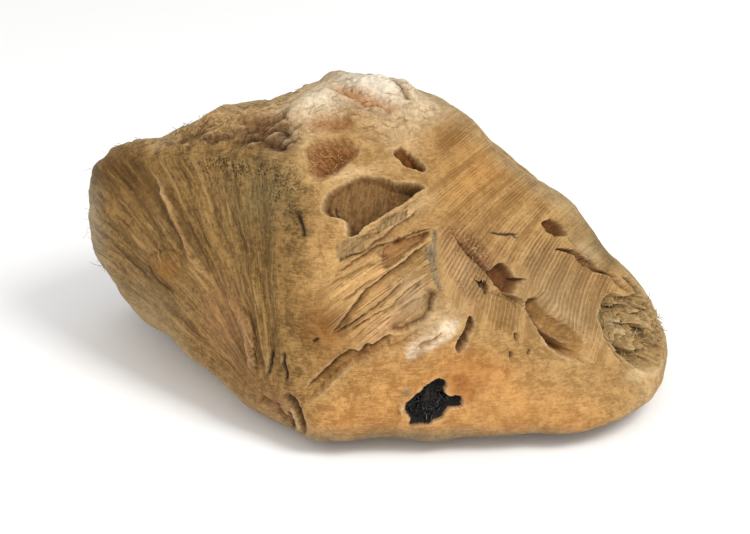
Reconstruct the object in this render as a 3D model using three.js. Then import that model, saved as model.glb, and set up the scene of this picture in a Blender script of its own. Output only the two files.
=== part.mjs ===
// Aquarium driftwood root: one weathered, hand-hewn lump of root wood, lying on its flat spot.
// Millimetres, +Z up, the ground at Z = 0 and the origin under the middle of the root.
// The front is at -Y, and left and right are as seen from there.
import * as THREE from "three";
import { mergeVertices } from "three/addons/utils/BufferGeometryUtils.js";

// Driving sizes
const middleHeight = 56; // the middle of the root above the ground
const farReach = 260; // farther from the middle than any wood
const wornEdge = 4; // how far the edges between the faces are rounded
const viewTilt = 26; // degrees: the front outline is the one seen from this height
const viewDistance = 900; // and from this far off
const meshDetail = 21;
const meshStretch = new THREE.Vector3(150, 95, 80); // crowds the mesh where the root is long
const frontCrowding = 0.42; // and towards the front, which has the most carving
const halvings = 34; // steps that close in on the surface
const leastLean = 0.5; // relief is stretched no more than twice where the surface is oblique

// The front outline, as right and up from the middle of the root
const frontOutline = [
  [-151, 29], [-150, 44], [-145, 53], [-134, 59], [-120, 60], [-108, 62], [-96, 69], [-80, 75], [-64, 79],
  [-50, 84], [-38, 90], [-22, 95], [-4, 96], [12, 93], [24, 85], [37, 79], [49, 71], [60, 59], [74, 46],
  [88, 37], [101, 28], [109, 17], [118, 4], [133, -10], [142, -23], [148, -36], [151, -51], [148, -67],
  [139, -81], [122, -91], [92, -97], [50, -98], [10, -98], [-28, -99], [-43, -94], [-59, -84], [-71, -75],
  [-84, -62], [-98, -53], [-107, -42], [-119, -34], [-129, -23], [-140, -9], [-148, 8],
];

// The hewn faces: turn from the front towards the right and lift from level, in degrees, and
// how far each lies from the middle
const hewnFaces = {
  belly: { turn: 4, lift: 9, reach: 100 },
  brow: { turn: 34, lift: 48, reach: 68 },
  cheek: { turn: -6, lift: 25, reach: 87 },
  fan: { turn: -38, lift: 20, reach: 88 },
  shelf: { turn: -58, lift: 58, reach: 106 },
  crown: { turn: -10, lift: 72, reach: 93 },
  back: { turn: 180, lift: 6, reach: 82 },
  backLeft: { turn: -138, lift: 8, reach: 128 },
  backRight: { turn: 138, lift: 10, reach: 106 },
  backTop: { turn: 178, lift: 40, reach: 98 },
  underLeft: { turn: -50, lift: -42, reach: 109 },
};

// The underside: a shallow bowl upside down, worn flat where it rests
const underside = { right: 4, back: -24, reach: 57.4, riseAlong: 0.00045, riseAcross: 0.0009 };

// Hollows cut or rotted in from the front: the rim as right and up, the depth, how wide the
// walls are, and how the floor deepens per millimetre to the right and up
const hollows = {
  pocket: {
    rim: [[-28, 26], [-26, 32], [-19, 37], [-12, 39.5], [-5, 41.5], [3, 41.5], [10, 39], [18, 38], [24, 35],
      [19, 31], [12, 27.5], [5, 23], [-3, 18], [-11, 12], [-16, 10], [-17, 17], [-23, 20]],
    depth: 17, wall: 6, deeper: [0, -0.25],
  },
  wormHole: {
    rim: [[8, 53], [12, 57], [18, 56], [21, 50], [26, 46], [20, 44], [15, 46], [10, 48]],
    depth: 8, wall: 4, deeper: [0, 0],
  },
  scoop: {
    rim: [[-42, 55], [-35, 61], [-24, 63], [-13, 62], [-3, 60], [-3, 53], [-14, 45], [-23, 37], [-32, 38],
      [-37, 46]],
    depth: 8, wall: 15, deeper: [0, 0],
  },
  bench: {
    rim: [[-23, -3], [-14, 5], [-3, 9], [10, 18], [20, 25], [24, 23], [15, 15], [5, 7], [-8, 1],
      [-17, -5]],
    depth: 4.5, wall: 4, deeper: [0, 0],
  },
  bite: {
    rim: [[4, -3], [6, 3], [14, 7], [25, 14.5], [31, 13.5], [22, 7], [14, -1], [8, -7]],
    depth: 5, wall: 4, deeper: [0, 0],
  },
  upperTrough: {
    rim: [[45, 5], [51, 4], [60, -1], [67, -3], [77, -11], [71, -15], [70, -20], [64, -17], [58, -8],
      [50, -3]],
    depth: 6, wall: 4, deeper: [0, 0],
  },
  lowerTrough: {
    rim: [[76, -22], [84, -23], [92, -31], [101, -37], [111, -45], [117, -55], [110, -57], [98, -51],
      [89, -44], [83, -34]],
    depth: 7.5, wall: 4.5, deeper: [0, 0],
  },
  rimTrough: {
    rim: [[88, 18], [96, 16], [105, 11], [114, 4], [124, -5], [128, -11], [119, -8], [109, -2], [97, 7]],
    depth: 5, wall: 4, deeper: [0, 0],
  },
  rottenEnd: {
    rim: [[116, -34], [122, -23], [131, -18], [141, -23], [147, -34], [149, -49], [146, -60], [141, -61],
      [133, -53], [123, -46]],
    depth: 5, wall: 7, deeper: [0, 0],
  },
  charredKnot: {
    rim: [[14, -77], [17, -73], [24, -69], [30, -66], [34, -63], [36, -67], [35, -72], [44, -74],
      [44, -78], [37, -80], [30, -84], [22, -87], [18, -87], [16, -82]],
    depth: 5, wall: 4, deeper: [0, 0],
  },
};

// Folds and gouges pressed in along a line, or raised where the depth is negative
const folds = {
  burlFold: { path: [[-31, 85], [-19, 83], [-10, 78], [1, 75], [13, 73], [21, 76]], depth: 4, width: 5 },
  shelfFold: { path: [[-78, 60], [-65, 62], [-53, 59], [-44, 55]], depth: 4, width: 5 },
  upperShelfFold: { path: [[-73, 69], [-60, 70], [-48, 74]], depth: 3, width: 4 },
  leftShelfFold: { path: [[-107, 60], [-94, 64], [-85, 71]], depth: 3, width: 4 },
  footCleft: { path: [[-44, -74], [-39, -79], [-35, -85], [-33, -92]], depth: 9, width: 5 },
  gouge: { path: [[-29, -41], [-13, -29], [4, -16], [18, -3]], depth: 4, width: 4.5 },
  lowGouge: { path: [[-13, -47], [5, -34], [20, -27], [31, -19]], depth: 3, width: 4.5 },
  highGouge: { path: [[-21, -19], [-9, -10], [4, -3]], depth: 2.4, width: 4 },
  seam: {
    path: [[-37, -77], [-25, -66], [-15, -56], [-3, -50], [11, -45], [24, -38]],
    depth: 3.4, width: 4,
  },
  chiselEdge: { path: [[31, 12], [32, -3], [35, -23]], depth: -3, width: 5 },
  fanRidge: { path: [[-110, 34], [-101, 12], [-96, 1], [-88, -14]], depth: -3.2, width: 4.5 },
  fanBlade: { path: [[-81, -22], [-72, -29], [-67, -42], [-64, -62]], depth: -3, width: 4.5 },
};

// Steps in the wood: the left side of the way along the path stands up, and each side runs
// back to the face over its own width
const steps = {
  seamStep: {
    path: [[-40, -81], [-25, -67], [-15, -57], [-3, -51], [11, -46], [28, -35], [35, -25]],
    rise: -3, left: 9, right: 16,
  },
  terrace: {
    path: [[33, 12], [42, 8], [50, 1], [59, -9], [67, -19], [76, -24], [85, -34], [93, -43], [106, -52],
      [116, -60]],
    rise: 3, left: 14, right: 12,
  },
  fanLip: {
    path: [[-144, 42], [-128, 45], [-110, 47], [-92, 50], [-71, 52], [-48, 54]],
    rise: 3, left: 8, right: 8,
  },
};

// Lumps seen from the front: where they are, how long and wide, how they turn and how high
const lumps = {
  greatBurl: { at: [4, 83], size: [24, 10], turn: -14, rise: 5 },
  leftBurl: { at: [-29, 77], size: [15, 7], turn: 15, rise: 5.5 },
  smallBurl: { at: [-44, 76], size: [9, 6], turn: 25, rise: 3 },
  lowBurl: { at: [-13, 69], size: [10, 6], turn: 0, rise: 3 },
  shelfLump: { at: [-66, 72], size: [10, 6], turn: 20, rise: 5 },
  midShelfLump: { at: [-86, 67], size: [9, 6], turn: 20, rise: 5 },
  leftShelfLump: { at: [-102, 60], size: [7, 5], turn: 20, rise: 4 },
  endShelfLump: { at: [-123, 54], size: [14, 6], turn: 5, rise: 3 },
  oldKnob: { at: [-102, -4], size: [8, 7], turn: -30, rise: 3.5 },
  pocketRim: { at: [-24, 15], size: [7, 9], turn: 40, rise: 3.5 },
  paleScar: { at: [31, -34], size: [12, 9], turn: 35, rise: 4 },
  bellySwell: { at: [64, -75], size: [40, 14], turn: 0, rise: 3 },
};

// Ridges that spread over the fan face like ribs from the foot
const fanRibs = {
  foot: [-52, -84], // right and up
  height: 3,
  grownAt: [6, 40], // the ribs rise out of the foot between these distances
  lip: 52, // up: the shelf's lip, under which they fade
  lipFade: 6,
  curl: 0.06, // degrees they curl per millimetre past the middle of the left-hand ones
  curlMiddle: 80,
  curlFrom: [10, 60],
  perDegree: 0.2, // how close the ribs are
  perMillimetre: 0.012, // how soon they change along their length
  from: -8, // degrees to the left of straight up
  to: 58,
  fade: 15,
};

// Forms on the sides that the front doesn't show: turn and lift in degrees, the length along the
// grain and the width across it, the tilt of the grain, and how high they stand or how deep
const farForms = {
  backRoot: { turn: 172, lift: 6, length: 85, width: 16, grain: 8, rise: 7 },
  lowerValley: { turn: 196, lift: -14, length: 70, width: 11, grain: -10, rise: -6 },
  backValley: { turn: 184, lift: 30, length: 70, width: 11, grain: 6, rise: -5 },
  sawnStub: { turn: 128, lift: 16, length: 20, width: 18, grain: 0, rise: 9 },
  stubCollar: { turn: 150, lift: 30, length: 26, width: 16, grain: 20, rise: 5 },
  endValley: { turn: 100, lift: -8, length: 30, width: 9, grain: 35, rise: -5 },
  leftRoot: { turn: -118, lift: 4, length: 42, width: 14, grain: -25, rise: 7 },
  leftValley: { turn: -140, lift: 24, length: 50, width: 11, grain: -20, rise: -6 },
  topHollow: { turn: 190, lift: 58, length: 34, width: 15, grain: 15, rise: -5 },
};

// The run of the weathered wood: broad swells and the grain's long furrows at the back
const swells = { height: 1.7, size: 24, start: 0 };
const bumps = { height: 0.8, size: 10, start: 3.3 };
const backFurrows = { height: 2.2, along: 70, across: 12, slope: 0.15, start: 9.1 };

// Where the relief fades, as the way the surface faces: 1 straight at the front view, -1 away
const frontFade = [0.02, 0.3];
const farFade = [0, 0.4];
const sameSideFade = [0, 0.6]; // a far form stays on surfaces that face as its seat does
const furrowFade = [-0.1, 0.5];
const furrowRise = [-46, -21]; // and the heights over which the furrows begin

// The ends of folds and steps
const foldEnds = { fade: 0.2, least: 0.25 };
const stepEnds = { fade: 0.15, edge: 1.2 };

// Looks
const woodColour = 0xb98a55;
const woodRoughness = 0.85;
const woodMetalness = 0;

// The view of the front outline: right, up and towards the viewer
const tilt = THREE.MathUtils.degToRad(viewTilt);
const viewRight = new THREE.Vector3(1, 0, 0);
const viewUp = new THREE.Vector3(0, Math.sin(tilt), Math.cos(tilt));
const viewOut = new THREE.Vector3(0, -Math.cos(tilt), Math.sin(tilt));

const { smoothstep, clamp, degToRad } = THREE.MathUtils;

// A direction from its turn, which is 0 at the front and 90 at the right, and its lift
function direction(turn, lift) {
  const around = degToRad(turn);
  const level = Math.cos(degToRad(lift));
  return new THREE.Vector3(
    Math.sin(around) * level,
    -Math.cos(around) * level,
    Math.sin(degToRad(lift)),
  );
}

// A point as seen from the front: right, up and out towards the viewer
function seenFromFront(point) {
  const out = point.dot(viewOut);
  const nearness = viewDistance / (viewDistance - out);
  return { right: point.dot(viewRight) * nearness, up: point.dot(viewUp) * nearness, out };
}

// A smooth curve through flat points, open or closed, as short straight runs
function smoothPath(points, closed, runsEach) {
  const corners = points.map(([x, y]) => new THREE.Vector3(x, y, 0));
  const curve = new THREE.CatmullRomCurve3(corners, closed, "catmullrom", 0.5);
  return curve.getPoints(points.length * runsEach);
}

// How far the front outline reaches from the middle at each angle
const outlineReach = (() => {
  const points = smoothPath(frontOutline, true, 12).slice(0, -1);
  const reach = points.map((p) => ({ angle: Math.atan2(p.y, p.x), far: Math.hypot(p.x, p.y) }));
  reach.sort((a, b) => a.angle - b.angle);
  const first = reach[0];
  const last = reach.at(-1);
  reach.push({ angle: first.angle + 2 * Math.PI, far: first.far });
  reach.unshift({ angle: last.angle - 2 * Math.PI, far: last.far });
  return reach;
})();

function outlineFar(angle) {
  let low = 0;
  let high = outlineReach.length - 1;
  while (high - low > 1) {
    const half = (low + high) >> 1;
    if (outlineReach[half].angle <= angle) low = half;
    else high = half;
  }
  const a = outlineReach[low];
  const b = outlineReach[high];
  return a.far + ((angle - a.angle) / (b.angle - a.angle)) * (b.far - a.far);
}

const faces = Object.values(hewnFaces).map(({ turn, lift, reach }) => ({
  normal: direction(turn, lift),
  reach,
}));

// How far a point stands outside the hewn lump, negative inside, with worn edges
function outside(point) {
  const { right, up } = seenFromFront(point);
  const past = faces.map(({ normal, reach }) => normal.dot(point) - reach);
  past.push(Math.hypot(right, up) - outlineFar(Math.atan2(up, right)));
  const along = point.x - underside.right;
  const across = point.y - underside.back;
  const bow = underside.riseAlong * along * along + underside.riseAcross * across * across;
  past.push(-point.z - underside.reach + bow);
  const most = Math.max(...past);
  const sum = past.reduce((total, value) => total + Math.exp((value - most) / wornEdge), 0);
  return most + wornEdge * Math.log(sum);
}

// Where a line from the middle leaves the hewn lump
function surfaceAlong(ray) {
  const point = new THREE.Vector3();
  let near = 0;
  let far = farReach;
  for (let i = 0; i < halvings; i += 1) {
    const half = (near + far) / 2;
    point.copy(ray).multiplyScalar(half);
    if (outside(point) < 0) near = half;
    else far = half;
  }
  return (near + far) / 2;
}

// The way the hewn lump's surface faces
function facing(point) {
  const small = 0.5;
  const here = outside(point);
  const shifted = (x, y, z) => outside(new THREE.Vector3(point.x + x, point.y + y, point.z + z));
  return new THREE.Vector3(
    shifted(small, 0, 0) - here,
    shifted(0, small, 0) - here,
    shifted(0, 0, small) - here,
  ).normalize();
}

// Repeatable random heights, smooth between the corners of a grid, from -1 to 1
function cornerHeight(i, j, k) {
  const value = Math.sin(i * 127.1 + j * 311.7 + k * 74.7) * 43758.5453;
  return value - Math.floor(value);
}

function ramble(x, y, z) {
  const cell = [x, y, z].map(Math.floor);
  const part = [x - cell[0], y - cell[1], z - cell[2]].map((t) => t * t * (3 - 2 * t));
  let total = 0;
  for (let corner = 0; corner < 8; corner += 1) {
    const step = [corner & 1, (corner >> 1) & 1, corner >> 2];
    const share = step.reduce((product, on, axis) => product * (on ? part[axis] : 1 - part[axis]), 1);
    total += share * cornerHeight(cell[0] + step[0], cell[1] + step[1], cell[2] + step[2]);
  }
  return 2 * total - 1;
}

// The nearest spot on a path: how far off it is, on which side, and the share of the way along
function nearestOnPath(right, up, path) {
  let found = { far: Infinity, side: 0, share: 0 };
  let travelled = 0;
  for (let i = 0; i + 1 < path.length; i += 1) {
    const dx = path[i + 1].x - path[i].x;
    const dy = path[i + 1].y - path[i].y;
    const length = Math.hypot(dx, dy);
    const along = clamp(((right - path[i].x) * dx + (up - path[i].y) * dy) / (length * length), 0, 1);
    const far = Math.hypot(right - path[i].x - along * dx, up - path[i].y - along * dy);
    if (far < found.far) {
      const side = Math.sign(dx * (up - path[i].y) - dy * (right - path[i].x));
      found = { far, side, share: travelled + along * length };
    }
    travelled += length;
  }
  found.share /= travelled;
  return found;
}

function isInside(right, up, rim) {
  let crossings = 0;
  for (let i = 0; i + 1 < rim.length; i += 1) {
    const a = rim[i];
    const b = rim[i + 1];
    const spans = a.y > up !== b.y > up;
    if (spans && right < ((b.x - a.x) * (up - a.y)) / (b.y - a.y) + a.x) crossings += 1;
  }
  return crossings % 2 === 1;
}

const hollowShapes = Object.values(hollows).map((hollow) => {
  const rim = smoothPath(hollow.rim, true, 4);
  const middle = hollow.rim.reduce(([x, y], [a, b]) => [x + a, y + b], [0, 0]);
  return { ...hollow, rim, middle: middle.map((sum) => sum / hollow.rim.length) };
});
const withSmoothPath = (form) => ({ ...form, path: smoothPath(form.path, false, 4) });
const foldShapes = Object.values(folds).map(withSmoothPath);
const stepShapes = Object.values(steps).map(withSmoothPath);
const farShapes = Object.values(farForms).map((form) => {
  const ray = direction(form.turn, form.lift);
  const seat = ray.clone().multiplyScalar(surfaceAlong(ray));
  const normal = facing(seat);
  const level = new THREE.Vector3(0, 0, 1).cross(normal).normalize();
  const along = level.applyAxisAngle(normal, degToRad(form.grain));
  const across = normal.clone().cross(along);
  return { ...form, seat, normal, along, across };
});

function hollowHeight(right, up, { rim, middle, depth, wall, deeper }) {
  if (!isInside(right, up, rim)) return 0;
  const floor = depth + deeper[0] * (right - middle[0]) + deeper[1] * (up - middle[1]);
  return -floor * smoothstep(nearestOnPath(right, up, rim).far, 0, wall);
}

function foldHeight(right, up, { path, depth, width }) {
  const { far, share } = nearestOnPath(right, up, path);
  const fade = smoothstep(share, 0, foldEnds.fade) * smoothstep(1 - share, 0, foldEnds.fade);
  return -depth * Math.exp(-((far / width) ** 2)) * THREE.MathUtils.lerp(foldEnds.least, 1, fade);
}

function stepHeight(right, up, { path, rise, left, right: rightWidth }) {
  const { far, side, share } = nearestOnPath(right, up, path);
  const fade = smoothstep(share, 0, stepEnds.fade) * smoothstep(1 - share, 0, stepEnds.fade);
  const run = side > 0 ? Math.exp(-far / left) : -Math.exp(-far / rightWidth);
  return rise * fade * run * smoothstep(far, 0, stepEnds.edge);
}

function lumpHeight(right, up, { at, size, turn, rise }) {
  const angle = degToRad(turn);
  const dx = right - at[0];
  const dy = up - at[1];
  const long = (dx * Math.cos(angle) + dy * Math.sin(angle)) / size[0];
  const wide = (dy * Math.cos(angle) - dx * Math.sin(angle)) / size[1];
  return rise * Math.exp(-(long * long + wide * wide));
}

// The fan's ribs fade out at its foot, at its two sides and under the lip of the shelf
function ribHeight(right, up) {
  const dx = right - fanRibs.foot[0];
  const dy = up - fanRibs.foot[1];
  const far = Math.hypot(dx, dy);
  const angle = THREE.MathUtils.radToDeg(Math.atan2(-dx, dy));
  const bent = angle - fanRibs.curl * (far - fanRibs.curlMiddle) * smoothstep(angle, ...fanRibs.curlFrom);
  const place = bent * fanRibs.perDegree;
  const ribs = ramble(place, far * fanRibs.perMillimetre, 0);
  const rightSide = smoothstep(angle - fanRibs.from, 0, fanRibs.fade);
  const leftSide = smoothstep(fanRibs.to - angle, 0, fanRibs.fade);
  const ends = smoothstep(far, ...fanRibs.grownAt) * smoothstep(fanRibs.lip - up, 0, fanRibs.lipFade);
  return fanRibs.height * ribs * rightSide * leftSide * ends;
}

function farHeight(point, normal, { seat, normal: seatNormal, along, across, length, width, rise }) {
  const away = point.clone().sub(seat);
  const long = away.dot(along) / length;
  const wide = away.dot(across) / width;
  const deep = away.dot(seatNormal) / length;
  const sameSide = smoothstep(normal.dot(seatNormal), ...sameSideFade);
  return rise * Math.exp(-(long * long + wide * wide + deep * deep)) * sameSide;
}

// How far the weathered surface stands off the hewn one
function relief(point, normal) {
  const { right, up } = seenFromFront(point);
  let height = 0;
  for (const hollow of hollowShapes) height += hollowHeight(right, up, hollow);
  for (const fold of foldShapes) height += foldHeight(right, up, fold);
  for (const step of stepShapes) height += stepHeight(right, up, step);
  for (const lump of Object.values(lumps)) height += lumpHeight(right, up, lump);
  height += ribHeight(right, up);
  height *= smoothstep(normal.dot(viewOut), ...frontFade);
  const hidden = smoothstep(-normal.dot(viewOut), ...farFade);
  for (const form of farShapes) height += hidden * farHeight(point, normal, form);
  const { x, y, z } = point;
  for (const { height: high, size, start } of [swells, bumps]) {
    height += high * ramble(x / size + start, y / size + start, z / size + start);
  }
  const { along, across, slope, start } = backFurrows;
  const atBack = smoothstep(-normal.dot(viewOut), ...furrowFade) * smoothstep(z, ...furrowRise);
  const furrow = ramble(x / along + start, y / across + start, (z + slope * x) / across + start);
  return height + backFurrows.height * atBack * furrow;
}

// The root's surface along a line from the middle, worn flat at the ground
function woodAlong(ray) {
  const hewn = surfaceAlong(ray);
  const point = ray.clone().multiplyScalar(hewn);
  const normal = facing(point);
  const lean = clamp(normal.dot(ray), leastLean, 1);
  const far = hewn + relief(point, normal) / lean;
  return ray.z < 0 ? Math.min(far, middleHeight / -ray.z) : far;
}

function rootGeometry() {
  const round = new THREE.IcosahedronGeometry(1, meshDetail);
  round.deleteAttribute("normal");
  round.deleteAttribute("uv");
  const geometry = mergeVertices(round);
  const position = geometry.attributes.position;
  const ray = new THREE.Vector3();
  for (let i = 0; i < position.count; i += 1) {
    ray.fromBufferAttribute(position, i).normalize();
    ray.addScaledVector(viewOut, frontCrowding).multiply(meshStretch).normalize();
    ray.multiplyScalar(woodAlong(ray));
    position.setXYZ(i, ray.x, ray.y, ray.z);
  }
  geometry.computeBoundingBox();
  const { min, max } = geometry.boundingBox;
  geometry.translate(-(min.x + max.x) / 2, -(min.y + max.y) / 2, -min.z);
  return geometry;
}

const wood = new THREE.MeshStandardMaterial({
  color: woodColour,
  roughness: woodRoughness,
  metalness: woodMetalness,
});

const root = new THREE.Mesh(rootGeometry(), wood);
root.name = "root";

const object = new THREE.Group();
object.add(root);

export default object;
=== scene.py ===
import math

import bpy
import numpy as np
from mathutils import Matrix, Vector


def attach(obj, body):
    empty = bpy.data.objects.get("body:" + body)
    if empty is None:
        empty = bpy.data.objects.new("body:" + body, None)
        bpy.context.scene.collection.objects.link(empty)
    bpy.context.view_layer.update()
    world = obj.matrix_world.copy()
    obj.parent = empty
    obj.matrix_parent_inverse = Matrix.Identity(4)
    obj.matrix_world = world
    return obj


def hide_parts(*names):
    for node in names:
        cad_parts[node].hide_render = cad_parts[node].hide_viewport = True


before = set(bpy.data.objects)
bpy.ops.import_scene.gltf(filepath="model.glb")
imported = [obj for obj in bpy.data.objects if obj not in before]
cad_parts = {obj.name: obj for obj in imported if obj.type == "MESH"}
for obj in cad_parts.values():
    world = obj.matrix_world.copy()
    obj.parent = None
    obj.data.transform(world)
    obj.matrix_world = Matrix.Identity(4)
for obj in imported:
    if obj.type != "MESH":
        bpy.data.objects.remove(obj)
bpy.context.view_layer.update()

# Sizes are in millimetres from the middle of the root until a mesh is made, and +Z is up.
# "Right" and "up" are read off the front view, which the camera shows.
rootPlace = {
    "middle": (1.14, 10.01, 56.0),  # in the part's own frame
    "viewTilt": 26.0,  # degrees above level
    "viewDistance": 900.0,
    "metre": 0.001,
}

# the hewn lump: flat faces, the front outline and a bowed underside
rootForm = {
    "wornEdge": 4.0,  # how far the edges between the faces are rounded
    "farReach": 260.0,  # farther from the middle than any wood
    "halvings": 34,  # steps that close in on the surface
    "smallStep": 0.5,  # over which the slope of the surface is read
    "leastLean": 0.5,  # relief is stretched no more than twice where the surface is oblique
    "detail": 150,  # triangles along each edge of the ball that the mesh starts from
    "stretch": (150, 95, 80),  # crowds the mesh where the root is long
    "frontCrowding": 0.55,  # and towards the front, which has the most carving
    "outline": [
        (-151, 29), (-150, 44), (-145, 53), (-134, 59), (-120, 60), (-108, 62), (-96, 69), (-80, 75),
        (-64, 79), (-50, 84), (-38, 90), (-22, 95), (-4, 96), (12, 93), (24, 85), (37, 79), (49, 71),
        (60, 59), (74, 46), (88, 37), (101, 28), (109, 17), (118, 4), (133, -10), (142, -23), (148, -36),
        (151, -51), (148, -67), (139, -81), (122, -91), (92, -97), (50, -98), (10, -98), (-28, -99),
        (-43, -94), (-59, -84), (-71, -75), (-84, -62), (-98, -53), (-107, -42), (-119, -34), (-129, -23),
        (-140, -9), (-148, 8),
    ],
    # turn from the front and lift from level in degrees, reach from the middle, two tones of its wood
    "faces": {
        "belly": (4, 9, 100, "cb9757", "a57038"),
        "brow": (34, 48, 68, "b5905b", "8c6838"),
        "cheek": (-6, 25, 87, "c49a60", "936a37"),
        "fan": (-38, 20, 88, "a27e47", "5e441f"),
        "shelf": (-58, 58, 106, "d4ab6e", "74502a"),
        "crown": (-10, 72, 93, "dcc7a0", "b8925f"),
        "back": (180, 6, 82, "a58a62", "755c3e"),
        "backLeft": (-138, 8, 128, "9a8260", "6c563a"),
        "backRight": (138, 10, 106, "b4925f", "87683f"),
        "backTop": (178, 40, 98, "bca378", "8f7048"),
        "underLeft": (-50, -42, 109, "94805f", "66563c"),
    },
    "underside": {"right": 4, "back": -24, "reach": 57.4, "riseAlong": 0.00045, "riseAcross": 0.0009},
    "outlineTones": ("b79b6e", "917649"),
    "undersideTones": ("a58a64", "7d6546"),
}

tilt = math.radians(rootPlace["viewTilt"])
viewRight = np.array([1.0, 0.0, 0.0])
viewUp = np.array([0.0, math.sin(tilt), math.cos(tilt)])
viewOut = np.array([0.0, -math.cos(tilt), math.sin(tilt)])


def ease(value, low, high):
    t = np.clip((value - low) / (high - low), 0, 1)
    return t * t * (3 - 2 * t)


def heading(turn, lift):
    around, rise = math.radians(turn), math.radians(lift)
    return np.array([math.sin(around) * math.cos(rise), -math.cos(around) * math.cos(rise), math.sin(rise)])


def frontView(points):
    nearness = rootPlace["viewDistance"] / (rootPlace["viewDistance"] - points @ viewOut)
    return (points @ viewRight) * nearness, (points @ viewUp) * nearness


def curveThrough(corners, closed, runs):
    # a smooth curve through flat corners, as short straight runs
    p = np.array(corners, float)
    if closed:
        p = np.vstack([p[-1], p, p[0], p[1]])
    else:
        p = np.vstack([2 * p[0] - p[1], p, 2 * p[-1] - p[-2]])
    t = np.linspace(0, 1, runs, endpoint=False)[:, None]
    parts = []
    for a, b, c, d in zip(p[:-3], p[1:-2], p[2:-1], p[3:]):
        bend, twist = 2 * a - 5 * b + 4 * c - d, 3 * b - a - 3 * c + d
        parts.append(0.5 * (2 * b + (c - a) * t + bend * t**2 + twist * t**3))
    return np.vstack(parts + [p[-2]])


outlineCurve = curveThrough(rootForm["outline"], True, 12)[:-1]
outlineAngle = np.arctan2(outlineCurve[:, 1], outlineCurve[:, 0])
outlineOrder = np.argsort(outlineAngle)
outlineAngle = outlineAngle[outlineOrder]
outlineReach = np.hypot(*outlineCurve.T)[outlineOrder]
faceNormals = np.array([heading(*face[:2]) for face in rootForm["faces"].values()])
faceReaches = np.array([face[2] for face in rootForm["faces"].values()], float)


def pastEachFace(points):
    # how far points stand past each face, then past the outline and the underside
    right, up = frontView(points)
    rim = np.interp(np.arctan2(up, right), outlineAngle, outlineReach, period=2 * math.pi)
    under = rootForm["underside"]
    bow = under["riseAlong"] * (points[:, 0] - under["right"]) ** 2
    bow = bow + under["riseAcross"] * (points[:, 1] - under["back"]) ** 2
    sides = points @ faceNormals.T - faceReaches
    return np.column_stack([sides, np.hypot(right, up) - rim, bow - points[:, 2] - under["reach"]])


def outside(points):
    # how far points stand outside the hewn lump, negative inside, with worn edges
    past = pastEachFace(points) / rootForm["wornEdge"]
    most = past.max(1)
    return rootForm["wornEdge"] * (most + np.log(np.exp(past - most[:, None]).sum(1)))


def surfaceAlong(rays):
    # where lines from the middle leave the hewn lump
    inner = np.zeros(len(rays))
    outer = np.full(len(rays), rootForm["farReach"])
    for _ in range(rootForm["halvings"]):
        half = (inner + outer) / 2
        within = outside(rays * half[:, None]) < 0
        inner = np.where(within, half, inner)
        outer = np.where(within, outer, half)
    return (inner + outer) / 2


def facing(points):
    here = outside(points)
    slope = np.column_stack([outside(points + rootForm["smallStep"] * axis) - here for axis in np.eye(3)])
    return slope / np.linalg.norm(slope, axis=1)[:, None]


scatter = {"weights": (127.1, 311.7, 74.7), "spread": 43758.5453}  # large enough to leave no pattern


def cornerHeight(*corner):
    value = np.sin(sum(c * weight for c, weight in zip(corner, scatter["weights"]))) * scatter["spread"]
    return value - np.floor(value)


def ramble(x, y, z):
    # repeatable random heights from -1 to 1, smooth between the corners of a grid
    place = np.stack(np.broadcast_arrays(x, y, z)).astype(float)
    cell = np.floor(place)
    part = place - cell
    part = part * part * (3 - 2 * part)
    total = 0
    for a in (0, 1):
        for b in (0, 1):
            for c in (0, 1):
                share = (part[0] if a else 1 - part[0]) * (part[1] if b else 1 - part[1])
                share = share * (part[2] if c else 1 - part[2])
                total = total + share * cornerHeight(cell[0] + a, cell[1] + b, cell[2] + c)
    return 2 * total - 1


def rambleAt(points, size, start=0.0):
    return ramble(*(points / size + start).T)


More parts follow.
